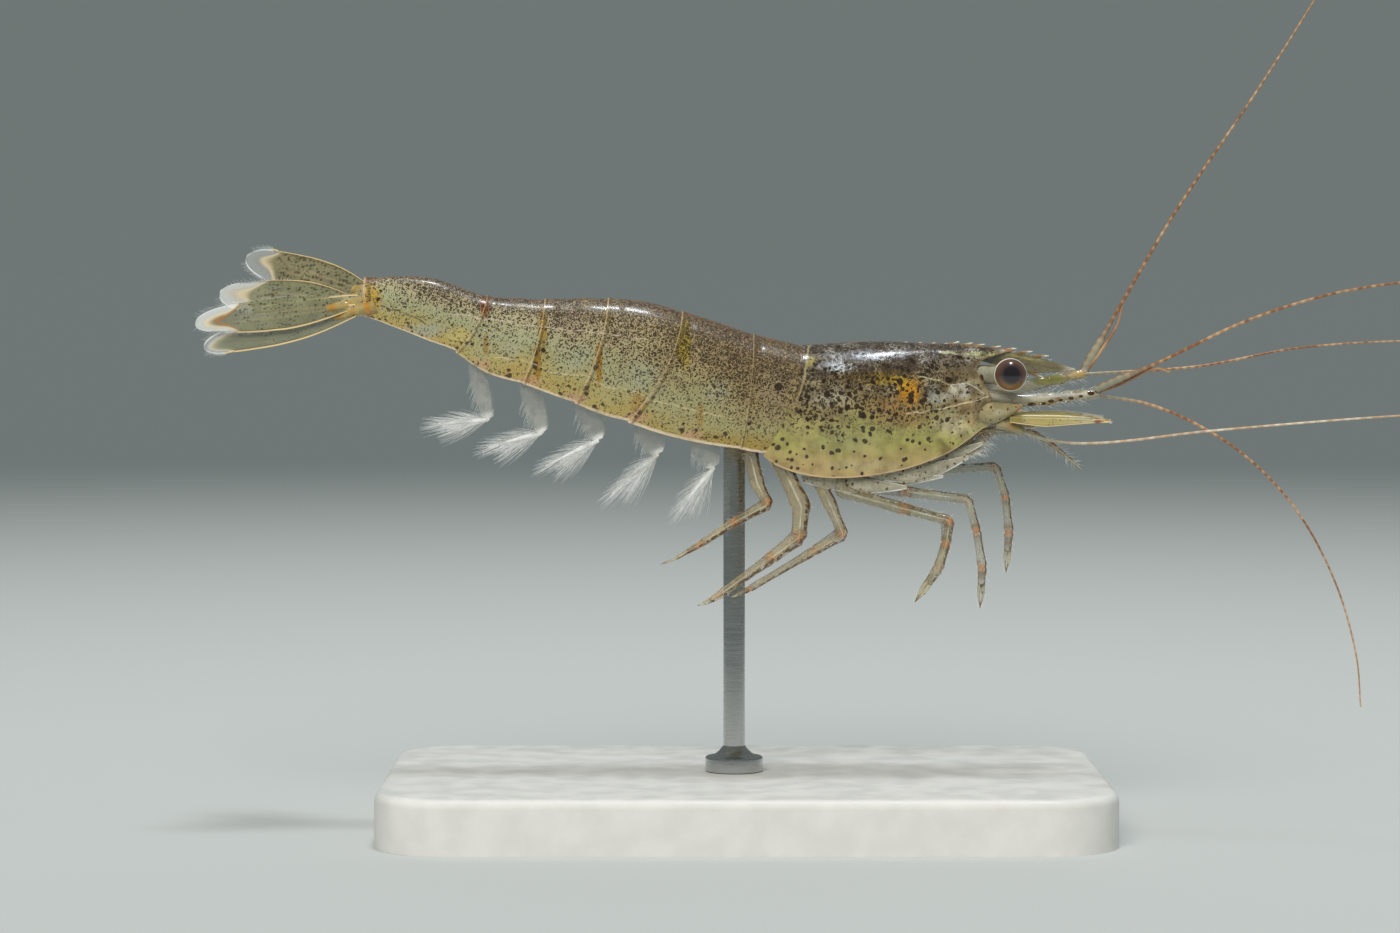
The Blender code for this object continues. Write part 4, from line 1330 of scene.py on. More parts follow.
@dataclass(frozen=True)
class StandFinish(Finish):
    """The stand's cast base and turned rod."""

    colour: Colour = COLOURS.white
    brushed: bool = False

    def paint(self, coat: Coat) -> None:
        """Give the material a fine grain, drawn round the rod where it is brushed.

        Args:
            coat: the material's sheet.
        """
        place = coat.vector("MULTIPLY", coat.place, (1.0, 1.0, 30.0)) if self.brushed else coat.place
        grain, rough = coat.noise(place, 600.0, 4.0), self.gloss.roughness
        coat.colour = tuple(0.92 * part for part in self.colour)
        coat.over(self.colour, coat.span(grain, 0.3, 0.7))
        coat.set("Roughness", coat.span(grain, 0.3, 0.7, 0.8 * rough, 1.2 * rough))
        bump = coat.add("Bump", {"Strength": 0.3, "Distance": 0.000006, "Height": grain})
        coat.set("Normal", bump.outputs[0])


@dataclass(frozen=True)
class FloorFinish(Finish):
    """A pale floor that fades into the backdrop's colour far away."""

    name: str = "studio_floor"
    gloss: Gloss = Gloss(roughness=0.9, specular=0.0)
    near: Colour = (0.52, 0.54, 0.53)
    far: Colour = (0.1505, 0.1703, 0.1679)
    fade: tuple[float, float] = (0.03, 0.42)

    def paint(self, coat: Coat) -> None:
        """Fade the floor with its distance from the model."""
        away = coat.add("VectorMath", {0: coat.place}, operation="LENGTH").outputs["Value"]
        coat.colour = coat.mix(coat.span(away, *self.fade), self.near, self.far)


def pigment_spots(*spots: tuple[float, float, float]) -> tuple[Patch, ...]:
    """Dark, flat spots, each given by its place from the side and its reach."""
    return tuple(Patch((x, z), (reach, 0.6 * reach), (0.05, 0.02, 0.006), 1.0, 0.5, 0.3) for x, z, reach in spots)


class Look(Enum):
    """Every material of the model, with its recipe."""

    TERGITE = TergiteFinish()
    CARAPACE = CarapaceFinish()
    FLESH = FleshFinish()
    STALK = GlassyFinish(
        "stalk_shell",
        body=(0.42, 0.42, 0.30),
        clear=0.7,
        speck_size=0.35,
        speck_side=0.5,
        patches=(
            Patch((13.4, 25.72), (0.9, 0.10), (0.88, 0.88, 0.80), 0.95, 0.4, 0.5),
            Patch((13.0, 24.95), (0.16, 0.30), (0.04, 0.02, 0.01), 0.95, 0.5, 0.4),
            Patch((13.7, 24.4), (0.8, 0.25), (0.62, 0.56, 0.30), 0.8, 0.5, 0.7),
        ),
    )
    ROOT = GlassyFinish(
        "tail_root", body=(0.50, 0.38, 0.14), joint=(0.58, 0.24, 0.02), rim=(0.66, 0.42, 0.12), clear=0.8
    )
    BASE = GlassyFinish(
        "feeler_base",
        body=(0.40, 0.34, 0.17),
        rim=(0.22, 0.13, 0.04),
        clear=0.85,
        speck_size=0.3,
        patches=(
            Patch((14.3, 23.72), (0.95, 0.08), (0.10, 0.05, 0.015), 0.9, 0.5, 0.4),
            Patch((13.9, 23.1), (0.5, 0.3), (0.50, 0.46, 0.30), 0.7, 0.9, 0.8),
        ),
    )
    LIMB = GlassyFinish(
        "limb_shell",
        body=(0.44, 0.39, 0.21),
        joint=(0.62, 0.22, 0.03),
        rim=(0.30, 0.12, 0.02),
        band=(0.17, 0.06, 0.012),
        clear=0.28,
        speck_size=0.8,
    )
    WALKER = GlassyFinish(
        "walking_limb_shell",
        body=(0.58, 0.46, 0.22),
        joint=(0.62, 0.22, 0.03),
        rim=(0.26, 0.11, 0.02),
        band=(0.15, 0.055, 0.012),
        clear=0.24,
        speck_size=0.8,
    )
    PEDUNCLE = GlassyFinish(
        "peduncle_shell",
        body=(0.56, 0.52, 0.38),
        clear=0.5,
        speck_size=0.4,
        speck_side=0.75,
        patches=(
            # Bluish-white strip along the top of the stem: a painted highlight.
            Patch((17.0, 24.05), (2.3, 0.14), (0.60, 0.66, 0.72), 0.5, 1.6, 0.7),
            Patch((17.3, 23.5), (2.3, 0.2), (0.58, 0.40, 0.14), 0.75, 0.8, 0.7),
            Patch((17.2, 24.8), (2.0, 0.45), (0.32, 0.31, 0.07), 0.9, 1.1, 0.7),
            Patch((18.6, 25.1), (0.9, 0.4), (0.52, 0.32, 0.06), 0.8, 1.2, 0.7),
            *pigment_spots(
                (15.3, 23.35, 0.2), (15.8, 23.48, 0.26), (16.45, 23.55, 0.16), (16.85, 23.68, 0.2), (17.4, 23.74, 0.14),
                (17.95, 23.85, 0.18), (18.5, 23.95, 0.16), (19.05, 24.12, 0.26), (19.4, 24.2, 0.14),
            ),
        ),
    )
    PLATE = GlassyFinish(
        "mouth_plate",
        body=(0.62, 0.58, 0.42),
        joint=(0.94, 0.92, 0.86),
        # Pale rim: a painted edge highlight.
        rim=(0.90, 0.86, 0.74),
        clear=0.6,
        speck_size=0.3,
    )
    PLEOPOD = GlassyFinish(
        "pleopod_shell",
        body=(0.62, 0.62, 0.54),
        joint=(0.97, 0.97, 0.95),
        # Pale rim: a painted edge highlight.
        rim=(0.95, 0.95, 0.90),
        clear=0.14,
        dense=0.7,
        speck_size=0.1,
    )
    STRAND = StrandFinish()
    EYE = EyeFinish()
    SCALE = BladeFinish(
        "antennal_scale",
        body=(0.42, 0.35, 0.12),
        clear=0.82,
        white_from=0.97,
        ribs=0.3,
        specks=0.25,
        patches=(Patch((19.35, 22.6), (0.32, 0.22), (0.24, 0.05, 0.01), 0.9, 0.8, 0.7),),
    )
    FAN = BladeFinish("tail_blade", white_from=0.74, specks=0.38, clear=0.5, thin=0.62)
    MID_FAN = BladeFinish("tail_blade_middle", rust=0.25, white_from=0.6, specks=0.45, fade=0.1, thin=0.45)
    PALE_FAN = BladeFinish(
        "tail_blade_pale", body=(0.27, 0.24, 0.11), rust=0.15, white_from=0.6, specks=0.52, fade=0.12, thin=0.16
    )
    CLEAR_FAN = BladeFinish(
        "tail_blade_clear", rust=0.1, white_from=0.8, specks=0.24, clear=0.42, fade=0.1, thin=0.25
    )
    TELSON = BladeFinish("telson_shell", body=(0.42, 0.38, 0.22), clear=0.8, rust=0.3, white_from=0.94)
    ANTENNULE_FEELER = FeelerFinish("antennule_feeler")
    ANTENNA_FEELER = FeelerFinish("antenna_feeler", dark=(0.50, 0.33, 0.20), pale=(0.72, 0.62, 0.48))
    HORN = HornFinish(
        lines=(
            Stroke(((8.8, 26.55), (12.0, 26.55), (14.2, 26.28), (16.6, 25.85)), 0.10, (0.42, 0.42, 0.16), 0.75),
            Stroke(((13.0, 26.05), (15.0, 25.8), (17.0, 25.5), (18.2, 25.4)), 0.06, (0.10, 0.075, 0.03), 0.7),
        )
    )
    CLAW = HornFinish("claw_horn", body=(0.62, 0.56, 0.38), dark=(0.12, 0.05, 0.018), clear=0.7)
    BRISTLE = BristleFinish("pale_bristle")
    RESIN = StandFinish("stand_resin", Gloss(roughness=0.5), (0.70, 0.69, 0.66))
    STEEL = StandFinish("stand_steel", Gloss(roughness=0.28, metallic=1.0), (0.62, 0.62, 0.61), brushed=True)
    FLOOR = FloorFinish()


Finishes = dict[Look, Material]


def make_finishes() -> Finishes:
    """Make every material once."""
    groups = SharedGroups()
    return {look: look.value.make(groups) for look in Look}
# ---------------------------------------------------------------- body

BACK = Profile(
    ((-21.1, 30.5), (-17.4, 30.45), (-14.3, 29.5), (-10.6, 29.3), (-7.6, 29.35), (-5.0, 29.05), (-2.4, 28.3),
     (0.9, 27.25), (3.2, 26.72))
)
BELLY = Profile(
    ((-21.1, 28.45), (-18.1, 27.15), (-16.0, 26.4), (-13.6, 25.2), (-10.9, 24.2), (-7.8, 23.0), (-4.4, 22.0),
     (-1.4, 21.3), (1.5, 20.82))
)
TAIL_HALF = Profile(
    ((-21.1, 0.85), (-18.0, 1.0), (-14.3, 1.35), (-10.9, 1.75), (-7.6, 2.1), (-3.5, 2.35), (0.5, 2.45), (3.2, 2.5))
)
SHIELD_BACK = Profile(((3.2, 26.75), (6.6, 26.95), (10.0, 26.75), (13.05, 26.4)))
SHIELD_BELLY = Profile(((0.7, 21.0), (2.1, 20.25), (4.9, 19.6), (8.2, 19.9), (11.05, 21.0), (13.05, 22.45)))
SHIELD_HALF = Profile(((3.2, 2.6), (6.6, 2.95), (10.0, 2.6), (13.05, 1.75)))
BROW = Profile(
    ((22.2, 13.3), (22.8, 13.7), (23.5, 13.7), (24.2, 13.4), (24.9, 13.0), (25.4, 12.75), (25.8, 12.9), (26.1, 13.3),
     (26.3, 14.0), (26.5, 14.9))
)
WIDEST = 0.42
MARGIN_TUCK = 0.16
ARCH_SHARE = 0.6
BAKE_START, BAKE_RUN = -30.0, 82.0
BAKE_RIM, BAKE_SPAN = 0.02, 0.96


def body_section(down: float) -> tuple[float, float]:
    """The arch of a plate.

    Args:
        down: 0 on the back and 1 at the lower margin.

    Returns:
        The share of the half width, and the share of the height.
    """
    if down <= ARCH_SHARE:
        turn = 0.5 * math.pi * down / ARCH_SHARE
        return math.sin(turn), WIDEST + (1.0 - WIDEST) * math.cos(turn)
    rest = (down - ARCH_SHARE) / (1.0 - ARCH_SHARE)
    return 1.0 - MARGIN_TUCK * rest**1.7, WIDEST * (1.0 - rest)


def body_patch(root: Vector) -> tuple[float, float]:
    """Where a point of the body lies on its bake map.

    Args:
        root: the point.

    Returns:
        Its share along the body, and its share round the body's axis.
    """
    along = (root.x - BAKE_START) / BAKE_RUN
    turn = math.atan2(root.y, root.z - 0.5 * (BACK.at(root.x) + BELLY.at(root.x))) / (2.0 * math.pi)
    return BAKE_RIM + BAKE_SPAN * along, 0.5 + BAKE_SPAN * turn


@dataclass(frozen=True)
class Assembly:
    """A part of the model that builds its own pieces from the shared materials."""

    finishes: Finishes

    def build(self) -> None:
        """Build every piece of the part."""
        raise NotImplementedError


@dataclass(frozen=True)
class Margin:
    """An edge of a plate across the body: its place on the back and how far its foot sweeps."""

    place: float
    sweep: float
    lateness: float = 1.8

    def at(self, height: float) -> float:
        """Find the edge's place along the body.

        Args:
            height: the height looked at.

        Returns:
            The place there.
        """
        top = BACK.at(self.place)
        depth = (top - height) / (top - BELLY.at(self.place + self.sweep))
        return self.place + self.sweep * max(0.0, depth) ** self.lateness

    def ahead(self, reach: float) -> "Margin":
        """The same edge, moved forwards."""
        return Margin(self.place + reach, self.sweep, self.lateness)


@dataclass(frozen=True)
class Plate:
    """One arched plate of the shell, between its front and rear margins."""

    name: str
    node: str
    front: Margin
    rear: Margin
    girth: tuple[float, float] = (0.95, 1.0)
    lobe: float = 0.1
    columns: int = 40
    rows: int = 84
    thickness: float = 0.07
    curves: tuple[Profile, Profile, Profile] = (BACK, BELLY, TAIL_HALF)

    def front_at(self, height: float) -> float:
        """Where the front margin lies at a height."""
        return self.front.at(height)

    def relief(self, along: float, down: float) -> float:
        """How far the plate stands out from its plain arch."""
        return 0.025 * ease(0.93, 1.0, along) - 0.03 * bell(0.86, 0.05, along)

    def point(self, along: float, around: float) -> Vector:
        """A point of the plate.

        Args:
            along: 0 at the front margin and 1 at the rear.
            around: 0 at the right lower margin and 1 at the left.

        Returns:
            The point.
        """
        side = 2.0 * around - 1.0
        wide, high = body_section(abs(side))
        back, belly, half_width = self.curves
        place = blend(self.front.place, self.rear.place, along)
        top = back.at(place)
        bottom = belly.at(place + blend(self.front.sweep, self.rear.sweep, along))
        bottom += self.lobe * (2.0 * along - 1.0) ** 4
        girth = blend(*self.girth, ease(0.0, 0.5, along))
        middle = 0.5 * (top + bottom)
        proud = self.relief(along, abs(side))
        height = middle + (bottom + (top - bottom) * high - middle) * girth + proud * (high - 0.4)
        width = (half_width.at(place) * girth + proud) * wide
        return Vector((blend(self.front_at(height), self.rear.at(height), along), math.copysign(width, side), height))

    def build(self, finish: Material) -> None:
        """Build the plate as a thin shell.

        Args:
            finish: its material.
        """
        bm = bmesh.new()
        wall(bm, add_sheet(bm, self.columns, self.rows, self.point), self.thickness)
        finish_piece(bm, self.name, finish, "translucent_shell", self.node, crease=60.0)


@dataclass(frozen=True)
class HeadShield(Plate):
    """The carapace, with its keel, its cheek ridge and its curved brow."""

    columns: int = 90
    rows: int = 110
    lobe: float = 0.0
    girth: tuple[float, float] = (1.0, 1.0)
    curves: tuple[Profile, Profile, Profile] = (SHIELD_BACK, SHIELD_BELLY, SHIELD_HALF)

    def front_at(self, height: float) -> float:
        """Where the brow lies at a height."""
        return BROW.at(height)

    def relief(self, along: float, down: float) -> float:
        """Raise the keel along the front of the back, the cheek ridge and the rolled margins.

        Args:
            along: 0 at the brow and 1 at the rear.
            down: 0 on the back and 1 at the lower margin.

        Returns:
            How far the shield stands out there.
        """
        keel = 0.16 * bell(0.0, 0.035, down) * ease(0.5, 0.2, along)
        ridge = 0.06 * bell(0.62 - 0.25 * along, 0.03, down) * ease(0.45, 0.25, along)
        groove = -0.07 * bell(0.30 + 0.25 * down, 0.035, along) * ease(0.15, 0.3, down) * ease(0.75, 0.6, down)
        return keel + ridge + groove + 0.02 * ease(0.97, 1.0, along) + 0.04 * ease(0.97, 1.0, down)


@dataclass(frozen=True)
class Body(Assembly):
    """The shell plates and the soft body inside them."""

    brow: Margin = Margin(13.05, 0.0)
    shield_rear: Margin = Margin(3.2, -2.1)
    joints: tuple[Margin, ...] = (
        Margin(0.45, -0.75),
        Margin(-3.5, -3.0),
        Margin(-7.6, -1.8),
        Margin(-11.1, -1.2),
        Margin(-14.3, -1.7),
        Margin(-21.1, 0.0),
    )
    overlap: float = 0.35
    skin_ends: tuple[float, float] = (-21.4, 13.2)
    skin_rings: int = 110
    skin_sides: int = 32
    skin_share: float = 0.83

    def build(self) -> None:
        """Build the soft body, the head shield and the six rings."""
        self.build_skin()
        shield = HeadShield("carapace_plate", "carapace", self.brow, self.shield_rear)
        shield.build(self.finishes[Look.CARAPACE])
        before = self.shield_rear
        for number, joint in enumerate(self.joints, start=1):
            girth = (0.985, 1.0) if number < 3 else (0.97, 1.0)
            lobe = 0.0 if number == 6 else 0.03
            ring = Plate(f"tergite_{number}", f"somite_{number}", before.ahead(self.overlap), joint, girth, lobe)
            ring.build(self.finishes[Look.TERGITE])
            before = joint

    def build_skin(self) -> None:
        """Build the soft body, which shows between the plates and under them."""
        low, high = self.skin_ends
        points, radii, flats = [], [], []
        for share in steps(self.skin_rings):
            x = blend(low, high, share)
            fore = ease(1.5, 4.0, x)
            top = blend(BACK.at(x), SHIELD_BACK.at(x), fore)
            bottom = blend(BELLY.at(x), SHIELD_BELLY.at(x) + 0.6, fore)
            half = blend(TAIL_HALF.at(x), SHIELD_HALF.at(x), fore)
            taper = min(1.0, 0.25 + 1.2 * math.sqrt(max(0.0, min(x - low, high - x))))
            tall = 0.5 * (top - bottom) * self.skin_share
            points.append(Vector((x, 0.0, 0.5 * (top + bottom) + 0.05 * (top - bottom))))
            radii.append(half * self.skin_share * taper)
            flats.append(0.92 * tall / (half * self.skin_share))
        bm = bmesh.new()
        add_tube(bm, points, radii, self.skin_sides, ACROSS, flats)
        finish_piece(bm, "soft_body", self.finishes[Look.FLESH], "translucent_shell")


# ---------------------------------------------------------------- head


@dataclass(frozen=True)
class Rostrum(Assembly):
    """The toothed blade over the eyes, which runs back along the shield as a keel."""

    upper: Profile = Profile(((8.6, 26.78), (11.9, 26.66), (14.2, 26.42), (15.9, 26.14), (18.32, 25.42)))
    lower: Profile = Profile(((8.6, 26.4), (12.6, 25.98), (14.0, 25.62), (15.0, 25.3), (16.8, 25.2), (18.32, 25.36)))
    half_thickness: float = 0.17
    upper_teeth: tuple[float, ...] = (9.0, 9.8, 10.55, 11.25, 11.9, 12.62, 13.3, 14.2, 15.05, 15.95, 16.85)
    lower_teeth: tuple[float, ...] = (15.7, 16.55)
    tooth: tuple[float, float, float] = (0.90, 0.26, 0.10)
    rings: int = 70
    hairs: int = 60

    def add_tooth(self, bm: BMesh, edge: Profile, tip: float, rise: float, size: float) -> None:
        """Add one forward-pointing tooth.

        Args:
            bm: the mesh.
            edge: the edge that it stands on.
            tip: how far forward its point reaches.
            rise: 1 above the blade and -1 below it.
            size: a share of the full tooth.
        """
        length, height, half = (size * part for part in self.tooth)
        path = []
        for share in (0.0, 0.3, 0.55, 0.8, 1.0):
            x = tip - length * (1.0 - share)
            lift = height * share**0.8 - 0.06 * (1.0 - share)
            path.append(Vector((x, 0.0, edge.at(x) + rise * lift)))
        radii = [half * part for part in (1.2, 1.1, 0.75, 0.5, 0.15)]
        add_tube(bm, path, radii, 8, UP, 0.8, tooth=(0.3, 0.8, 0.8, 0.2, 0.0), tip=(0.0, 0.0, 0.1, 0.8, 1.0))

    def build(self) -> None:
        """Build the blade, its teeth and the hairs between them."""
        bm = bmesh.new()
        low, high = self.upper.knots[0][0], self.upper.knots[-1][0]
        points, radii, flats = [], [], []
        for share in steps(self.rings):
            x = blend(low, high, share)
            top, bottom = self.upper.at(x), self.lower.at(x)
            half = max(0.03, 0.5 * (top - bottom))
            points.append(Vector((x, 0.0, 0.5 * (top + bottom))))
            radii.append(half)
            flats.append(min(1.0, self.half_thickness * (1.0 - 0.75 * ease(12.0, 18.4, x)) / half))
        tips = [0.6 * ease(high - 1.0, high, point.x) for point in points]
        add_tube(bm, points, radii, 24, UP, flats, tip=tips, tooth=0.25)
        for tip in self.upper_teeth:
            self.add_tooth(bm, self.upper, tip, 1.0, 0.62 if tip < 11.5 else 1.0)
        for tip in self.lower_teeth:
            self.add_tooth(bm, self.lower, tip, -1.0, 0.9)
        finish_piece(bm, "rostrum_blade", self.finishes[Look.HORN], "rostrum_horn", "rostrum", crease=70.0)
        self.build_hairs()

    def build_hairs(self) -> None:
        """Grow the short hairs along both edges."""
        rng = random.Random(11)
        hairs = Bristles("rostrum_hairs")
        for i, share in enumerate(steps(self.hairs)):
            x = blend(10.5, 17.0, share)
            under = i % 3 == 2 and x > 14.8
            edge, rise = (self.lower, -1.0) if under else (self.upper, 1.0)
            root = Vector((x, rng.uniform(-0.03, 0.03), edge.at(x)))
            tip = root + Vector((rng.uniform(0.15, 0.25), rng.uniform(-0.05, 0.05), rise * rng.uniform(0.06, 0.14)))
            hairs.grow(root, tip, UP * 0.03 * rise, 0.014)
        hairs.build(self.finishes[Look.BRISTLE], "rostrum_horn")


@dataclass(frozen=True)
class Eyes(Assembly):
    """The ball eyes on their stalks."""

    centre: Point = (14.55, 1.9, 25.14)
    radius: float = 0.93
    stalk_start: Point = (12.9, 0.8, 25.1)
    stalk_radii: Profile = Profile.even((0.5, 0.52, 0.5, 0.56, 0.7, 0.78))
    stalk_rings: int = 18
    gaze: Point = (0.02, 1.0, 0.06)

    def build(self) -> None:
        """Build both eyes and both stalks."""
        for side in Side:
            self.build_ball(side)
            self.build_stalk(side)

    def build_ball(self, side: Side) -> None:
        """Build an eye, whose vertices know their angle from its gaze and how low they lie.

        Args:
            side: the half of the animal.
        """
        bm = bmesh.new()
        for name in ("polar", "low"):
            bm.verts.layers.float.new(name)
        polar, low = (bm.verts.layers.float.get(name) for name in ("polar", "low"))
        verts = bmesh.ops.create_uvsphere(bm, u_segments=72, v_segments=48, radius=self.radius)["verts"]
        gaze = side.point(self.gaze).normalized()
        for vert in verts:
            out = vert.co.normalized()
            vert[polar] = gaze.angle(out) / math.pi
            vert[low] = max(0.0, -out.z)
            if vert[polar] > 0.47:
                vert.co *= 0.97
        bmesh.ops.translate(bm, vec=side.point(self.centre), verts=verts)
        name, node = f"eye_ball_{side.label}", f"eye_{side.label}"
        finish_piece(bm, name, self.finishes[Look.EYE], "eye_cornea", node, crease=80.0)

    def build_stalk(self, side: Side) -> None:
        """Build a stalk that widens into a cup round the eye.

        Args:
            side: the half of the animal.
        """
        shares = steps(self.stalk_rings)
        path = straight(side.point(self.stalk_start), side.point(self.centre), self.stalk_rings)
        radii = [self.stalk_radii.at(share) for share in shares]
        joint = [0.35 * bell(0.35, 0.12, share) for share in shares]
        bm = bmesh.new()
        add_tube(bm, path, radii, 28, UP, joint=joint, tip=0.0)
        name, node = f"eye_stalk_{side.label}", f"eyestalk_{side.label}"
        finish_piece(bm, name, self.finishes[Look.STALK], "translucent_shell", node)


@dataclass(frozen=True)
class Feeler:
    """One long feeler."""

    name: str
    points: tuple[Point, ...]
    width: tuple[float, float]
    look: Look = Look.ANTENNULE_FEELER
    root_width: float = 0.0
    root_length: float = 3.4
    rings_per_mm: float = 6.0

    def build(self, finishes: Finishes) -> None:
        """Build the feeler as a thin, tapering, ringed strand.

        Args:
            finishes: the materials.
        """
        length = sum((Vector(b) - Vector(a)).length for a, b in zip(self.points, self.points[1:]))
        count = round(length * self.rings_per_mm)
        radii = []
        for i, share in enumerate(steps(count)):
            width = blend(*self.width, share**0.7)
            if self.root_width:
                thin = ease(0.3 * self.root_length, self.root_length, length * share)
                width = blend(self.root_width, width, thin)
            radii.append(0.5 * width * (1.0 + 0.02 * (i % 2)))
        bm = bmesh.new()
        add_tube(bm, smooth_line(self.points, count), radii, 8)
        finish_piece(bm, self.name.replace("_", "_strand_", 1), finishes[self.look], "feeler_shell", self.name)


@dataclass(frozen=True)
class Antennules(Assembly):
    """The first feelers: a stem of three joints on each side, and its whips."""

    stems: tuple[tuple[Side, tuple[Point, ...]], ...] = (
        (Side.RIGHT, ((13.1, -0.8, 24.0), (15.3, -0.95, 23.72), (17.2, -1.05, 23.85), (18.3, -1.15, 23.98),
                      (19.55, -1.2, 24.08))),
        (Side.LEFT, ((13.1, 0.8, 24.1), (15.5, 0.9, 24.4), (17.1, 1.05, 24.75), (18.1, 1.15, 24.95),
                     (19.1, 1.2, 25.15))),
    )
    widths: Profile = Profile((
        (0.0, 0.80), (0.20, 0.86), (0.45, 0.80), (0.625, 0.72), (0.64, 0.60), (0.66, 0.66), (0.80, 0.64),
        (0.81, 0.52), (0.83, 0.60), (0.95, 0.58), (1.0, 0.44),
    ))
    joints: tuple[float, float] = (0.64, 0.81)
    feelers: tuple[Feeler, ...] = (
        Feeler("antennule_outer_right", ((19.35, -1.4, 24.3), (20.6, -1.7, 24.9), (22.5, -2.25, 25.75),
                                         (27.3, -3.8, 28.15), (32.0, -5.5, 29.7), (38.0, -8.6, 30.5),
                                         (45.0, -13.0, 30.4)), (0.22, 0.10), root_width=0.42),
        Feeler("antennule_inner_right", ((19.35, -1.0, 24.0), (22.6, -1.0, 23.4), (27.0, -1.5, 21.1),
                                         (30.1, -2.1, 18.0), (32.3, -2.7, 14.0), (33.5, -3.3, 9.7),
                                         (33.7, -3.6, 7.0)), (0.20, 0.08)),
        Feeler("antennule_outer_left", ((18.9, 1.4, 25.2), (20.9, 2.0, 28.7), (24.2, 3.4, 34.1),
                                        (29.3, 6.0, 41.3), (34.8, 9.4, 49.5)), (0.22, 0.10), root_width=0.50),
        Feeler("antennule_inner_left", ((18.95, 0.95, 25.1), (25.4, 1.2, 25.55), (30.7, 2.0, 26.5),
                                        (36.9, 3.4, 26.9), (44.0, 5.6, 26.8)), (0.20, 0.07)),
    )
    twins: tuple[tuple[Side, tuple[Point, ...]], ...] = (
        (Side.RIGHT, ((19.4, -1.25, 24.15), (20.8, -1.55, 24.7), (22.6, -2.2, 25.5), (23.3, -2.35, 25.3))),
        (Side.LEFT, ((18.95, 1.25, 25.15), (19.9, 1.55, 26.4), (20.9, 1.95, 28.0), (21.1, 2.05, 28.9))),
    )
    stem_rings: int = 90
    spine_ring: int = 52
    hairs_per_stem: int = 70
    hairy_rings: tuple[int, int] = (20, 88)

    def build(self) -> None:
        """Build the stems, their scales and hairs, and the whips."""
        rng = random.Random(23)
        hairs = Bristles("antennule_hairs")
        for side, points in self.stems:
            path = smooth_line(points, self.stem_rings)
            radii = [0.5 * self.widths.at(share) for share in steps(self.stem_rings)]
            self.build_stem(side, path, radii)
            self.add_hairs(side, path, radii, hairs, rng)
        hairs.build(self.finishes[Look.BRISTLE], "limb_shell")
        for feeler in self.feelers:
            feeler.build(self.finishes)
        for side, points in self.twins:
            bm = bmesh.new()
            add_tube(bm, smooth_line(points, 40), [blend(0.13, 0.06, share) for share in steps(40)], 8)
            finish = self.finishes[Look.ANTENNULE_FEELER]
            finish_piece(bm, f"antennule_twin_{side.label}", finish, "feeler_shell")

    def build_stem(self, side: Side, path: Sequence[Vector], radii: Sequence[float]) -> None:
        """Build a stem with its spine, and the muscle strand inside it.

        Args:
            side: the half of the animal.
            path: the stem's middle line.
            radii: its half widths.
        """
        joint = [max(bell(place, 0.02, share) for place in self.joints) for share in steps(self.stem_rings)]
        bm = bmesh.new()
        add_tube(bm, path, radii, 24, ACROSS, 0.9, joint=joint, tip=0.0)
        root = path[self.spine_ring] + side.point((0.0, 0.3, 0.05))
        spine = [root + side.point((0.28 * k, 0.03, 0.03 * k)) for k in range(4)]
        add_tube(bm, spine, (0.1, 0.08, 0.05, 0.01), 8, joint=0.0, tip=0.0)
        name, node = f"antennule_stem_{side.label}", f"antennule_{side.label}"
        finish_piece(bm, name, self.finishes[Look.PEDUNCLE], "limb_shell", node)
        bm = bmesh.new()
        add_tube(bm, path[2:-4], [0.45 * radius for radius in radii[2:-4]], 12)
        finish_piece(bm, f"antennule_core_{side.label}", self.finishes[Look.STRAND], "limb_shell")

    def add_hairs(
        self, side: Side, path: Sequence[Vector], radii: Sequence[float], hairs: Bristles, rng: random.Random
    ) -> None:
        """Scatter hairs along a stem.

        Args:
            side: the half of the animal.
            path: the stem's middle line.
            radii: its half widths.
            hairs: the bristles to add to.
            rng: the source of small differences.
        """
        for i in range(self.hairs_per_stem):
            k = rng.randrange(*self.hairy_rings)
            turn = rng.choice((-1.0, 1.0)) * rng.uniform(0.2, 0.9)
            out = side.point((0.0, math.sin(turn), -math.cos(turn) if i % 3 else math.cos(turn)))
            root = path[k] + out * radii[k] * 0.93
            tip = root + out * rng.uniform(0.15, 0.4) + AHEAD * rng.uniform(0.25, 0.5)
            hairs.grow(root, tip, out * 0.08, 0.014)


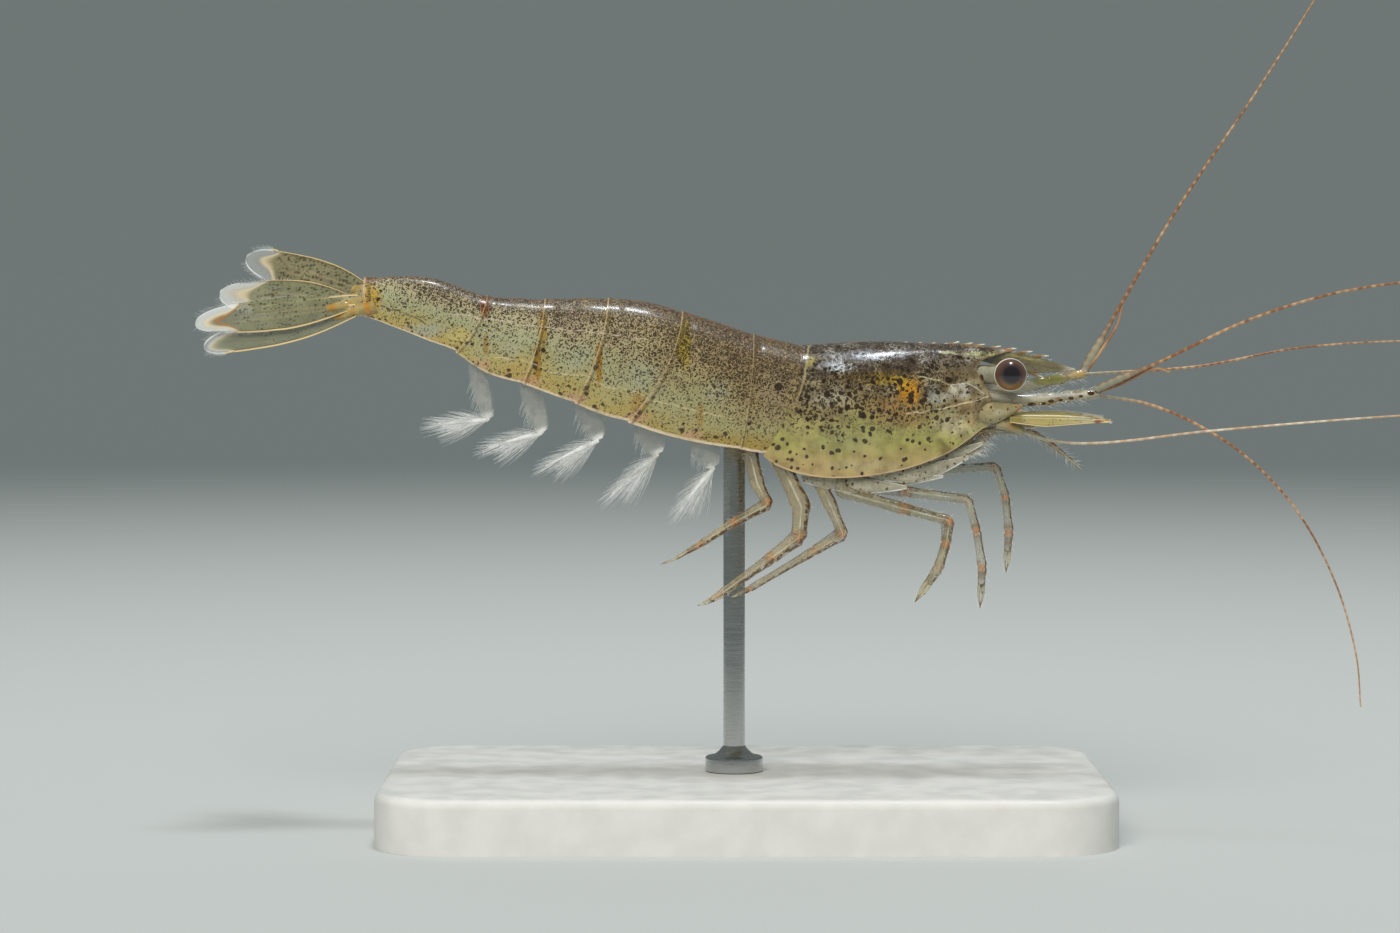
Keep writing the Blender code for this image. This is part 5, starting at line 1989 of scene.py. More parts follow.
@dataclass(frozen=True)
class Blade:
    """A thin blade: a stiff outer edge, a rounded end, ribs, and a fringe on its inner edge."""

    name: str
    node: str
    root: Vector
    along: Vector
    across: Vector
    length: float
    width: float
    root_share: float = 0.35
    spine_at: float = 0.86
    spined: bool = True
    pointed: bool = False
    fringe: float = 0.45
    thickness: float = 0.05
    sag: float = 0.12
    columns: int = 44
    rows: int = 26
    fringe_per_mm: float = 9.0
    tip_from: float = 0.72

    def half_widths(self, share: float) -> tuple[float, float]:
        """How far the two edges stand from the middle line.

        Args:
            share: 0 at the root and 1 at the end.

        Returns:
            The outer and the inner edge's distance, as shares of the half width.
        """
        rise = self.root_share + (1.0 - self.root_share) * math.sin(0.5 * math.pi * min(1.0, share / 0.45))
        end = max(0.0, (share - self.spine_at) / (1.0 - self.spine_at))
        tail = max(0.0, (share - 0.5) / 0.5)
        if self.pointed:
            return rise * (1.0 - 0.97 * max(0.0, share - 0.35) / 0.65), rise * (1.0 - 0.98 * tail**1.4)
        blunt, round_by = (2.0, 2.8) if self.spined else (4.0, 3.6)
        outer = rise * (1.0 - 0.25 * ease(0.5, 0.9, share)) * math.sqrt(max(0.0, 1.0 - end**blunt))
        return outer, rise * math.sqrt(max(0.0, 1.0 - tail**round_by))

    def point(self, share: float, side: float) -> Vector:
        """A point of the blade.

        Args:
            share: 0 at the root and 1 at the end.
            side: -1 on the inner edge and 1 on the outer one.

        Returns:
            The point.
        """
        outer, inner = self.half_widths(share)
        reach = 0.5 * self.width * side * (outer if side > 0.0 else inner)
        up = self.across.cross(self.along).normalized()
        rib = 0.05 * (bell(0.12, 0.05, side) + bell(-0.22, 0.05, side)) * ease(1.0, 0.6, share)
        rim = 0.05 * ease(0.9, 1.0, side) * ease(self.spine_at, self.spine_at - 0.1, share)
        lift = rib + rim - self.sag * (side * side) - 0.5 * self.sag * share * share
        return self.root + self.along * (self.length * share) + self.across * reach + up * lift

    def brink(self) -> list[tuple[Vector, float]]:
        """Follow the soft part of the outline.

        Returns:
            The middle and the length of each short run of it.
        """
        turns = [math.sin(0.5 * math.pi * k / 60) for k in range(61)]
        outline = [self.point(turn, -1.0) for turn in turns]
        outline += [self.point(turn, 1.0) for turn in reversed(turns) if turn > self.spine_at]
        return [(near.lerp(far, 0.5), (far - near).length) for near, far in zip(outline, outline[1:])]

    def build(self, finish: Material, fringe: Bristles) -> None:
        """Build the blade, its spine and its fringe.

        Args:
            finish: its material.
            fringe: the bristles to add to.
        """
        bm = bmesh.new()
        stored = bm.verts.layers.float
        for name in ("edge", "end", "rib"):
            stored.new(name)
        edge, end, ribbed = (stored.get(name) for name in ("edge", "end", "rib"))
        shares = [math.sin(0.5 * math.pi * along) for along in steps(self.columns + 1)]

        def place(along: float, across: float) -> Vector:
            """A point of the sheet, whose columns crowd towards the end."""
            return self.point(math.sin(0.5 * math.pi * along), 2.0 * across - 1.0)

        verts = add_sheet(bm, self.columns, self.rows, place)
        brink = self.brink()
        for k, vert in enumerate(verts):
            row, column = divmod(k, self.columns + 1)
            share, side = shares[column], 2.0 * row / self.rows - 1.0
            pull = sum(size / max(0.03, (vert.co - spot).length) ** 3 for spot, size in brink)
            rim = math.sqrt(2.0 / pull) + 1.5 * ease(0.80, 0.55, share)
            stiff = ease(self.spine_at + 0.02, self.spine_at - 0.02, share) if self.spined else ease(0.98, 0.6, share)
            vert[edge] = ease(0.90, 0.96, side) * stiff
            vert[end] = max(0.0, 1.0 - rim / 2.0)
            vert[ribbed] = (bell(0.12, 0.06, side) + bell(-0.22, 0.06, side)) * ease(0.95, 0.5, share)
        wall(bm, verts, self.thickness)
        if self.spined:
            spine_end = self.point(self.spine_at + 0.045, 1.0) + self.across * 0.08
            spine = straight(self.point(self.spine_at - 0.03, 0.97), spine_end, 5)
            add_tube(bm, spine, (0.05, 0.06, 0.045, 0.03, 0.008), 8, edge=1.0)
        finish_piece(bm, self.name, finish, "clear_blade", self.node)
        self.add_fringe(fringe)

    def add_fringe(self, fringe: Bristles) -> None:
        """Grow the fringe along the inner edge and round the end.

        Args:
            fringe: the bristles to add to.
        """
        rng = random.Random(len(fringe.strands) + 5)
        for turn in steps(round(self.length * self.fringe_per_mm)):
            share, side = blend(0.22, 0.985, (turn / self.tip_from) ** 0.8), -1.0
            if turn >= self.tip_from:
                share, side = blend(0.985, self.spine_at + 0.01, (turn - self.tip_from) / (1.0 - self.tip_from)), 1.0
            root = self.point(share, side * 0.99)
            out = (self.across * side + self.along * blend(0.9, 1.6, share)).normalized()
            length = self.fringe * rng.uniform(0.75, 1.1) * (0.55 + 0.45 * ease(0.2, 0.7, share))
            tip = root + out * length + UP * rng.uniform(-0.06, 0.06)
            fringe.grow(root, tip, self.across * (0.05 * side), 0.016)


@dataclass(frozen=True)
class Antennae(Assembly):
    """The second feelers: base blocks, stems, broad scales and the longest whips."""

    base: tuple[Point, ...] = ((12.9, 1.6, 22.95), (13.6, 1.8, 23.05), (14.3, 1.9, 23.2), (15.25, 1.97, 23.42))
    base_half_height: float = 0.6
    scale_root: Point = (14.55, 1.85, 22.85)
    scale_length: float = 5.55
    scale_width: float = 2.1
    scale_roll: float = 21.0
    feelers: tuple[Feeler, ...] = (
        Feeler("antenna_flagellum_right", ((15.0, -1.8, 22.1), (16.7, -2.1, 21.55), (18.7, -2.5, 21.4),
                                           (25.3, -4.0, 22.15), (35.1, -7.0, 23.1), (43.0, -10.0, 23.6),
                                           (50.0, -13.2, 23.8)), (0.17, 0.08), Look.ANTENNA_FEELER),
        Feeler("antenna_flagellum_left", ((15.1, 1.8, 22.2), (16.3, 2.7, 22.1), (16.6, 4.4, 22.6),
                                          (14.2, 6.8, 23.1), (7.5, 8.6, 23.8), (-3.0, 9.6, 24.8),
                                          (-16.0, 9.2, 26.5)), (0.20, 0.09), Look.ANTENNA_FEELER),
    )
    base_shares: Profile = Profile(((0.0, 0.7), (0.3, 1.0), (0.6, 0.72), (0.9, 0.28), (1.0, 0.08)))
    base_rings: int = 20
    stem: tuple[Point, ...] = ((13.9, 1.55, 22.5), (14.6, 1.65, 22.3), (15.3, 1.82, 22.05))
    stem_rings: int = 16

    def build(self) -> None:
        """Build both antennae."""
        fringe = Bristles("scale_fringe")
        for side in Side:
            self.build_base(side)
            roll = math.radians(self.scale_roll)
            across = side.point((0.0, math.cos(roll), -math.sin(roll)))
            along = heading(-1.0, 3.0, side)
            across = (across - along * along.dot(across)).normalized()
            root = side.point(self.scale_root) - UP * (0.12 * (1.0 + side.value))
            blade = Blade(
                name=f"scale_blade_{side.label}",
                node=f"antenna_scale_{side.label}",
                root=root,
                along=along,
                across=across,
                length=self.scale_length,
                width=self.scale_width,
                root_share=0.5,
                spine_at=0.96,
                pointed=True,
                fringe=0.25,
            )
            blade.build(self.finishes[Look.SCALE], fringe)
        fringe.build(self.finishes[Look.BRISTLE], "clear_blade")
        for feeler in self.feelers:
            feeler.build(self.finishes)

    def build_base(self, side: Side) -> None:
        """Build a base block with its spine, and the stem under the scale.

        Args:
            side: the half of the animal.
        """
        count, stem_count = self.base_rings, self.stem_rings
        path = smooth_line([side.point(point) for point in self.base], count)
        radii = [self.base_half_height * self.base_shares.at(share) for share in steps(count)]
        joint = [0.8 * ease(13, 19, i) for i in range(count)]
        bm = bmesh.new()
        add_tube(bm, path, radii, 20, UP, 0.75, joint=joint, tip=0.0)
        stem = smooth_line([side.point(point) for point in self.stem], stem_count)
        radii = [blend(0.34, 0.2, share) for share in steps(stem_count)]
        joint = [bell(8, 2.5, i) for i in range(stem_count)]
        add_tube(bm, stem, radii, 14, UP, joint=joint, tip=0.0)
        name, node = f"antenna_stem_{side.label}", f"antenna_base_{side.label}"
        finish_piece(bm, name, self.finishes[Look.BASE], "limb_shell", node)


@dataclass(frozen=True)
class Mouth(Assembly):
    """The leaf-like mouthparts, one over the other, with their bristles."""

    leaves: tuple[tuple[Point, Point, float], ...] = (
        ((11.2, 0.75, 21.3), (13.9, 0.55, 21.9), 0.5),
        ((10.7, 0.95, 20.9), (13.5, 0.75, 21.35), 0.42),
        ((10.2, 1.15, 20.6), (13.2, 0.95, 20.95), 0.36),
        ((11.6, 0.55, 21.6), (14.2, 0.4, 22.3), 0.4),
    )
    rings: int = 16
    bristles_per_leaf: int = 22
    bristly_rings: tuple[int, int] = (9, 16)

    def build(self) -> None:
        """Build the leaves and the tuft."""
        bm = bmesh.new()
        rng = random.Random(31)
        tuft = Bristles("mouth_bristles")
        joint = [0.25 * bell(12, 3, i) for i in range(self.rings)]
        for side in Side:
            for start, end, half in self.leaves:
                line = straight(side.point(start), side.point(end), self.rings)
                path = [p + UP * (-0.12 * math.sin(math.pi * t)) for p, t in zip(line, steps(self.rings))]
                radii = [half * max(0.08, math.sin(math.pi * (0.12 + 0.86 * t))) for t in steps(self.rings)]
                add_tube(bm, path, radii, 16, UP, 0.4, joint=joint, tip=0.0)
                for _ in range(self.bristles_per_leaf):
                    k = rng.randrange(*self.bristly_rings)
                    down = rng.uniform(-1.0, 0.25)
                    root = path[k] + UP * (radii[k] * down) + ACROSS * (side.value * 0.3 * radii[k])
                    out = side.point((rng.uniform(0.3, 1.0), rng.uniform(0.0, 0.5), rng.uniform(-0.8, 0.1)))
                    tuft.grow(root, root + out.normalized() * rng.uniform(0.3, 0.75), AHEAD * 0.06, 0.018)
        finish_piece(bm, "mouth_leaves", self.finishes[Look.PEDUNCLE], "limb_shell", "mouthparts")
        tuft.build(self.finishes[Look.BRISTLE], "limb_shell")


# ---------------------------------------------------------------- limbs


class LimbEnd(Enum):
    """What a limb ends in; the value is how much of the last joint the end takes up."""

    CLAW = 0.52
    NAIL = 0.36
    BRUSH = 0.0


@dataclass(frozen=True)
class Limb:
    """One kind of jointed limb; each side has its own pose of pitches and splays."""

    name: str
    hip: Point
    lengths: tuple[float, ...]
    widths: tuple[float, ...]
    right: tuple[tuple[float, float], ...]
    left: tuple[tuple[float, float], ...]
    end: LimbEnd
    hairs: int = 46
    end_rings: int = 14

    def corners(self, side: Side) -> list[Vector]:
        """Find the hip, the joints and the tip.

        Args:
            side: the half of the animal.

        Returns:
            The points, from the hip on.
        """
        points = [side.point(self.hip)]
        for length, (pitch, splay) in zip(self.lengths, self.left if side is Side.LEFT else self.right):
            points.append(points[-1] + heading(pitch, splay, side) * length)
        return points

    def radius(self, place: float) -> float:
        """The limb's half width, with its swellings and its waists.

        Args:
            place: where along the limb, counted in joints.

        Returns:
            The half width there.
        """
        i = min(int(place), len(self.widths) - 2)
        share = place - i
        near = 0.5 * blend(self.widths[i], self.widths[i + 1], share)
        swell = 1.0 + 0.16 * ease(0.66, 0.93, share) + 0.12 * ease(0.25, 0.04, share)
        return near * swell * (1.0 - 0.22 * self.near_joint(place, 0.07))

    def near_joint(self, place: float, reach: float, off: float = 0.0) -> float:
        """How close a place is to a joint, or to a ring some way off it.

        Args:
            place: where along the limb, counted in joints.
            reach: how far the closeness spreads.
            off: the ring's distance from the joint.

        Returns:
            1 there, and 0 away from it.
        """
        number = round(place)
        if not 1 < number < len(self.lengths):
            return 0.0
        run = self.lengths[number - 1] if place < number else self.lengths[number]
        return bell(off, reach, abs(place - number) * run)

    def dark_ring(self, place: float) -> float:
        """How dark the limb's rings are, and the patch before its end."""
        last = 0.7 * bell(len(self.lengths) - 0.75, 0.14, place)
        return max(last, 0.85 * self.near_joint(place, 0.10, 0.34))

    def build(self, finishes: Finishes, hairs: Bristles) -> None:
        """Build the limb on both sides.

        Args:
            finishes: the materials.
            hairs: the bristles to add to.
        """
        look = Look.WALKER if self.end is LimbEnd.NAIL else Look.LIMB
        for side in Side:
            corners = self.corners(side)
            cut = len(self.lengths) - self.end.value + 1e-6
            points, places = zip(*(pair for pair in zip(*bent_path(corners, 0.16, 0.14)) if pair[1] <= cut))
            radii = [self.radius(place) for place in places]
            joint = [self.near_joint(place, 0.2) for place in places]
            tip = [self.dark_ring(place) for place in places]
            bm = bmesh.new()
            add_tube(bm, points, radii, 14, ACROSS, 0.92, joint=joint, tip=tip)
            label = f"{self.name}_shell_{side.label}"
            finish_piece(bm, label, finishes[look], "limb_shell", f"{self.name}_{side.label}")
            core = bmesh.new()
            add_tube(core, points[1:-1], [max(0.018, 0.11 * radius) for radius in radii[1:-1]], 8)
            finish_piece(core, label.replace("shell", "core"), finishes[Look.STRAND], "limb_shell")
            if self.end is not LimbEnd.BRUSH:
                self.build_end(side, corners[-1] - points[-1], radii[-1], points[-1], finishes, hairs)
            self.add_hairs(points, radii, hairs)

    def build_end(
        self, side: Side, run: Vector, radius: float, start: Vector, finishes: Finishes, hairs: Bristles
    ) -> None:
        """Build the two fingers of a claw, or the nail.

        Args:
            side: the half of the animal.
            run: the way from the start of the end to its tip.
            radius: the half width where the end starts.
            start: where it starts.
            finishes: the materials.
            hairs: the bristles to add to.
        """
        along, length = run.normalized(), run.length
        bend = ACROSS.cross(along).normalized()
        claw = self.end is LimbEnd.CLAW
        thick, fingers = (0.60, (1.0, -1.0)) if claw else (0.86, (1.0,))
        shares = steps(self.end_rings)
        radii = [radius * thick * (1.0 - 0.86 * t**1.2) for t in shares]
        bm = bmesh.new()
        for turn in fingers:
            path = []
            for t in shares:
                bow = 0.34 * radius + 0.06 * math.sin(math.pi * t) - 0.10 * t * t if claw else 0.16 * length * t * t
                path.append(start + along * (length * t - 0.05) + bend * (turn * bow))
            add_tube(bm, path, radii, 10, ACROSS, 0.9, tip=0.0, tooth=[ease(0.55, 1.0, t) for t in shares])
            out = (bend * turn + along * 0.8).normalized()
            for root in path[2:13] if claw else ():
                hairs.grow(root, root + out * 0.26, out * -0.01, 0.02)
        finish_piece(bm, f"{self.end.name.lower()}_{self.name}_{side.label}", finishes[Look.CLAW], "limb_shell")

    def add_hairs(self, points: Sequence[Vector], radii: Sequence[float], hairs: Bristles) -> None:
        """Scatter fine hairs along the limb, more towards its end.

        Args:
            points: the limb's middle line.
            radii: its half widths.
            hairs: the bristles to add to.
        """
        rng = random.Random(len(hairs.strands) + 3)
        lengths = (0.25, 0.6) if self.end is LimbEnd.BRUSH else (0.14, 0.36)
        for _ in range(self.hairs):
            k = round(blend(3, len(points) - 2, rng.random() ** 0.75))
            ahead = (points[k + 1] - points[k]).normalized()
            turn = rng.uniform(0.0, 2.0 * math.pi)
            wide = (ACROSS - ahead * ahead.y).normalized()
            out = wide * math.cos(turn) + ahead.cross(wide) * math.sin(turn)
            root = points[k] + out * (0.9 * radii[k])
            tip = root + (out + ahead * 0.9).normalized() * rng.uniform(*lengths)
            hairs.grow(root, tip, out * 0.04, 0.018)


@dataclass(frozen=True)
class Limbs(Assembly):
    """The third maxillipeds, the five pairs of legs and the small plates beside the mouth."""

    kinds: tuple[Limb, ...] = (
        Limb("maxilliped", (9.3, 1.0, 20.4), (2.0, 2.2, 3.0, 1.5, 1.8), (0.55, 0.5, 0.38, 0.34, 0.28, 0.1),
             ((5, 1), (42, 1), (-2, 4), (-34, 1), (-40, 0)), ((5, 1), (41, 1), (-3, 3), (-32, 1), (-39, 0)),
             LimbEnd.BRUSH, 170),
        Limb("leg_1", (7.5, 1.1, 20.1), (1.4, 1.9, 3.5, 1.8, 2.0, 2.3), (0.62, 0.66, 0.60, 0.50, 0.48, 0.52, 0.34),
             ((-114, 7), (-4, 6), (-7, 7), (-75, 7), (-81, 2), (-93, 0)),
             ((-30, 4), (10, 4), (3, 5), (-72, 5), (-84, 1), (-94, 0)), LimbEnd.CLAW, 90),
        Limb("leg_2", (5.3, 1.35, 20.0), (1.45, 3.6, 2.6, 1.3, 1.4, 2.3), (0.70, 0.70, 0.66, 0.54, 0.52, 0.56, 0.36),
             ((-91, 28), (-15, 8), (-14, 9), (-100, 4), (-107, 4), (-125, 0)),
             ((-86, 20), (-18, 6), (-15, 6), (-89, 3), (-106, 3), (-124, 0)), LimbEnd.CLAW, 90),
        Limb("leg_3", (3.6, 1.15, 20.2), (2.7, 1.7, 1.9, 4.1, 1.2), (0.95, 0.72, 0.60, 0.52, 0.36, 0.10),
             ((-64, 14), (-67, 14), (-152, 6), (-150, 5), (-154, 6)),
             ((-64, 10), (-66, 10), (-144, 4), (-149, 4), (-153, 4)), LimbEnd.NAIL),
        Limb("leg_4", (1.8, 1.15, 20.65), (3.3, 1.8, 1.9, 3.7, 1.2), (1.15, 1.02, 0.82, 0.66, 0.42, 0.11),
             ((-65, 24), (-95, 21), (-145, 12), (-145, 9), (-153, 5)),
             ((-65, 17), (-92, 15), (-139, 8), (-144, 6), (-150, 4)), LimbEnd.NAIL),
        Limb("leg_5", (0.25, 1.1, 20.8), (1.8, 1.4, 2.2, 2.3, 2.4), (0.98, 0.76, 0.62, 0.54, 0.36, 0.09),
             ((-76, 15), (-62, 28), (-153, 14), (-148, 10), (-150, 7)),
             ((-76, 10), (-64, 20), (-147, 10), (-147, 7), (-150, 5)), LimbEnd.NAIL),
    )
    paddles: tuple[tuple[Point, Point, float, float], ...] = (
        ((6.5, 1.9, 19.85), (12.3, 1.5, 20.6), 0.46, 0.5),
        ((8.6, 1.6, 20.35), (13.1, 1.1, 21.35), 0.36, 0.3),
        ((3.2, 1.8, 19.4), (8.9, 1.9, 18.95), 0.42, 0.1),
        ((5.2, 1.4, 19.5), (10.9, 1.7, 19.55), 0.26, 0.25),
    )
    paddle_rings: int = 24

    def build(self) -> None:
        """Build every limb."""
        hairs = Bristles("limb_hairs")
        for limb in self.kinds:
            limb.build(self.finishes, hairs)
        for side in Side:
            self.build_paddles(side)
        hairs.build(self.finishes[Look.BRISTLE], "limb_shell")

    def build_paddles(self, side: Side) -> None:
        """Build the plates beside the mouth, with their pale rims.

        Args:
            side: the half of the animal.
        """
        bm = bmesh.new()
        shares = steps(self.paddle_rings)
        for start, end, half, sag in self.paddles:
            line = straight(side.point(start), side.point(end), self.paddle_rings)
            path = [point - UP * (sag * math.sin(math.pi * t)) for point, t in zip(line, shares)]
            radii = [half * max(0.1, math.sin(math.pi * (0.12 + 0.83 * t))) for t in shares]
            add_tube(bm, path, radii, 14, UP, 0.3, joint=0.0, tip=0.0)
            for rise, thick in ((-0.97, 0.05), (0.97, 0.03)):
                rim = [point + UP * (rise * radius) for point, radius in zip(path, radii)]
                add_tube(bm, rim, [thick] * self.paddle_rings, 6, UP, joint=1.0, tip=0.0)
        finish_piece(bm, f"mouth_paddles_{side.label}", self.finishes[Look.PLATE], "limb_shell")


@dataclass(frozen=True)
class Swimmeret:
    """The sizes of one pair of swimmerets; pitches are in degrees."""

    top: tuple[float, float]
    out: float
    stem: float
    stem_pitch: float
    width: float
    branch: float
    branch_pitch: float


@dataclass(frozen=True)
class Pleopods(Assembly):
    """The swimmerets: flat stems, two feathered branches on each."""

    pairs: tuple[Swimmeret, ...] = (
        Swimmeret((-2.65, 21.8), 1.2, 2.0, -62.0, 1.5, 3.8, -126.0),
        Swimmeret((-5.7, 22.75), 1.2, 2.2, -66.0, 1.5, 4.2, -136.0),
        Swimmeret((-8.95, 23.85), 1.1, 2.5, -70.0, 1.35, 4.0, -151.0),
        Swimmeret((-12.0, 24.6), 0.95, 2.8, -74.0, 1.2, 3.8, -162.0),
        Swimmeret((-14.9, 25.55), 0.8, 3.0, -77.0, 1.0, 3.6, -172.0),
    )
    swell: Profile = Profile(((0.0, 0.72), (0.35, 1.0), (0.7, 0.9), (0.92, 0.62), (1.0, 0.4)))
    leaf: Profile = Profile(((0.0, 0.8), (0.25, 1.0), (0.6, 0.6), (1.0, 0.15)))
    branch_half: float = 0.12
    shaft_share: float = 0.76
    stem_rings: int = 24
    branch_rings: int = 20
    hairs_per_stem: int = 14
    hairy_rings: tuple[int, int] = (7, 22)
    hairs_per_branch: int = 34
    hair_length: float = 1.8

    def build(self) -> None:
        """Build all ten."""
        feathers = Bristles("pleopod_feathers")
        rng = random.Random(47)
        for number, pair in enumerate(self.pairs, start=1):
            for side in Side:
                self.build_one(f"{number}_{side.label}", pair, side, feathers, rng)
        feathers.build(self.finishes[Look.BRISTLE], "pleopod_shell")

    def build_one(self, label: str, pair: Swimmeret, side: Side, feathers: Bristles, rng: random.Random) -> None:
        """Build one swimmeret.

        Args:
            label: the end of its pieces' names.
            pair: its sizes.
            side: the half of the animal.
            feathers: the bristles to add to.
            rng: the source of small differences.
        """
        finish = self.finishes[Look.PLEOPOD]
        top = side.point((pair.top[0], pair.out, pair.top[1]))
        stem = heading(pair.stem_pitch, 4.0, side)
        front = (AHEAD - stem * stem.x).normalized()
        shares = steps(self.stem_rings)
        path = [top + stem * (pair.stem * (1.04 * share - 0.06)) for share in shares]
        radii = [0.5 * pair.width * self.swell.at(share) for share in shares]
        bm = bmesh.new()
        add_tube(bm, path, radii, 20, front, 0.30, joint=[ease(0.8, 1.0, share) for share in shares], tip=0.0)
        finish_piece(bm, f"pleopod_stem_{label}", finish, "pleopod_shell", f"pleopod_{label}")
        for _ in range(self.hairs_per_stem):
            k = rng.randrange(*self.hairy_rings)
            root = path[k] - front * (0.9 * radii[k])
            tip = root + (stem * 1.4 - front).normalized() * rng.uniform(0.4, 0.9) + ACROSS * rng.uniform(-0.1, 0.1)
            feathers.grow(root, tip, front * -0.05, 0.018)
        bm = bmesh.new()
        for lean, size in ((1.0, 1.06), (-1.0, 0.84)):
            along = heading(pair.branch_pitch - 6.0 * lean, 5.0 * lean + 3.0, side)
            root = top + stem * pair.stem + ACROSS * (side.value * 0.14 * lean)
            self.add_branch(bm, root, along, pair.branch * size, feathers, rng)
        finish_piece(bm, f"pleopod_branches_{label}", finish, "pleopod_shell")

    def add_branch(
        self,
        bm: BMesh,
        root: Vector,
        along: Vector,
        length: float,
        feathers: Bristles,
        rng: random.Random,
    ) -> None:
        """Add one leaf-shaped branch and its feathering.

        Args:
            bm: the mesh.
            root: where it starts.
            along: the way it points.
            length: its length with its feathering.
            feathers: the bristles to add to.
            rng: the source of small differences.
        """
        shaft = self.shaft_share * length
        wide = (UP - along * along.z).normalized()
        across = along.cross(wide).normalized()
        shares = steps(self.branch_rings)
        path = [root + along * (shaft * share) - wide * (0.16 * share**2) for share in shares]
        radii = [self.branch_half * self.leaf.at(share) for share in shares]
        add_tube(bm, path, radii, 12, wide, 0.42, joint=1.0, tip=0.0)
        for i in range(self.hairs_per_branch):
            share = i / self.hairs_per_branch
            k = min(18, int(2 + 17 * share))
            turn = 1.0 if i % 2 else -1.0
            foot = path[k] + wide * (turn * 0.8 * radii[k])
            lean = math.radians(blend(19.0, 5.0, share) + rng.uniform(-5.0, 5.0))
            out = along * math.cos(lean) + wide * (turn * math.sin(lean)) + across * rng.uniform(-0.12, 0.12)
            inside = (length - shaft * share) * rng.uniform(0.8, 1.0)
            reach = min(inside, self.hair_length * rng.uniform(0.7, 1.05) * (1.1 - 0.3 * turn))
            feathers.grow(foot, foot + out * reach, wide * (turn * 0.05 * reach), 0.034)


class Uropod(Enum):
    """The two kinds of tail blade, the outer and the inner one."""

    EXOPOD = "exopod"
    ENDOPOD = "endopod"


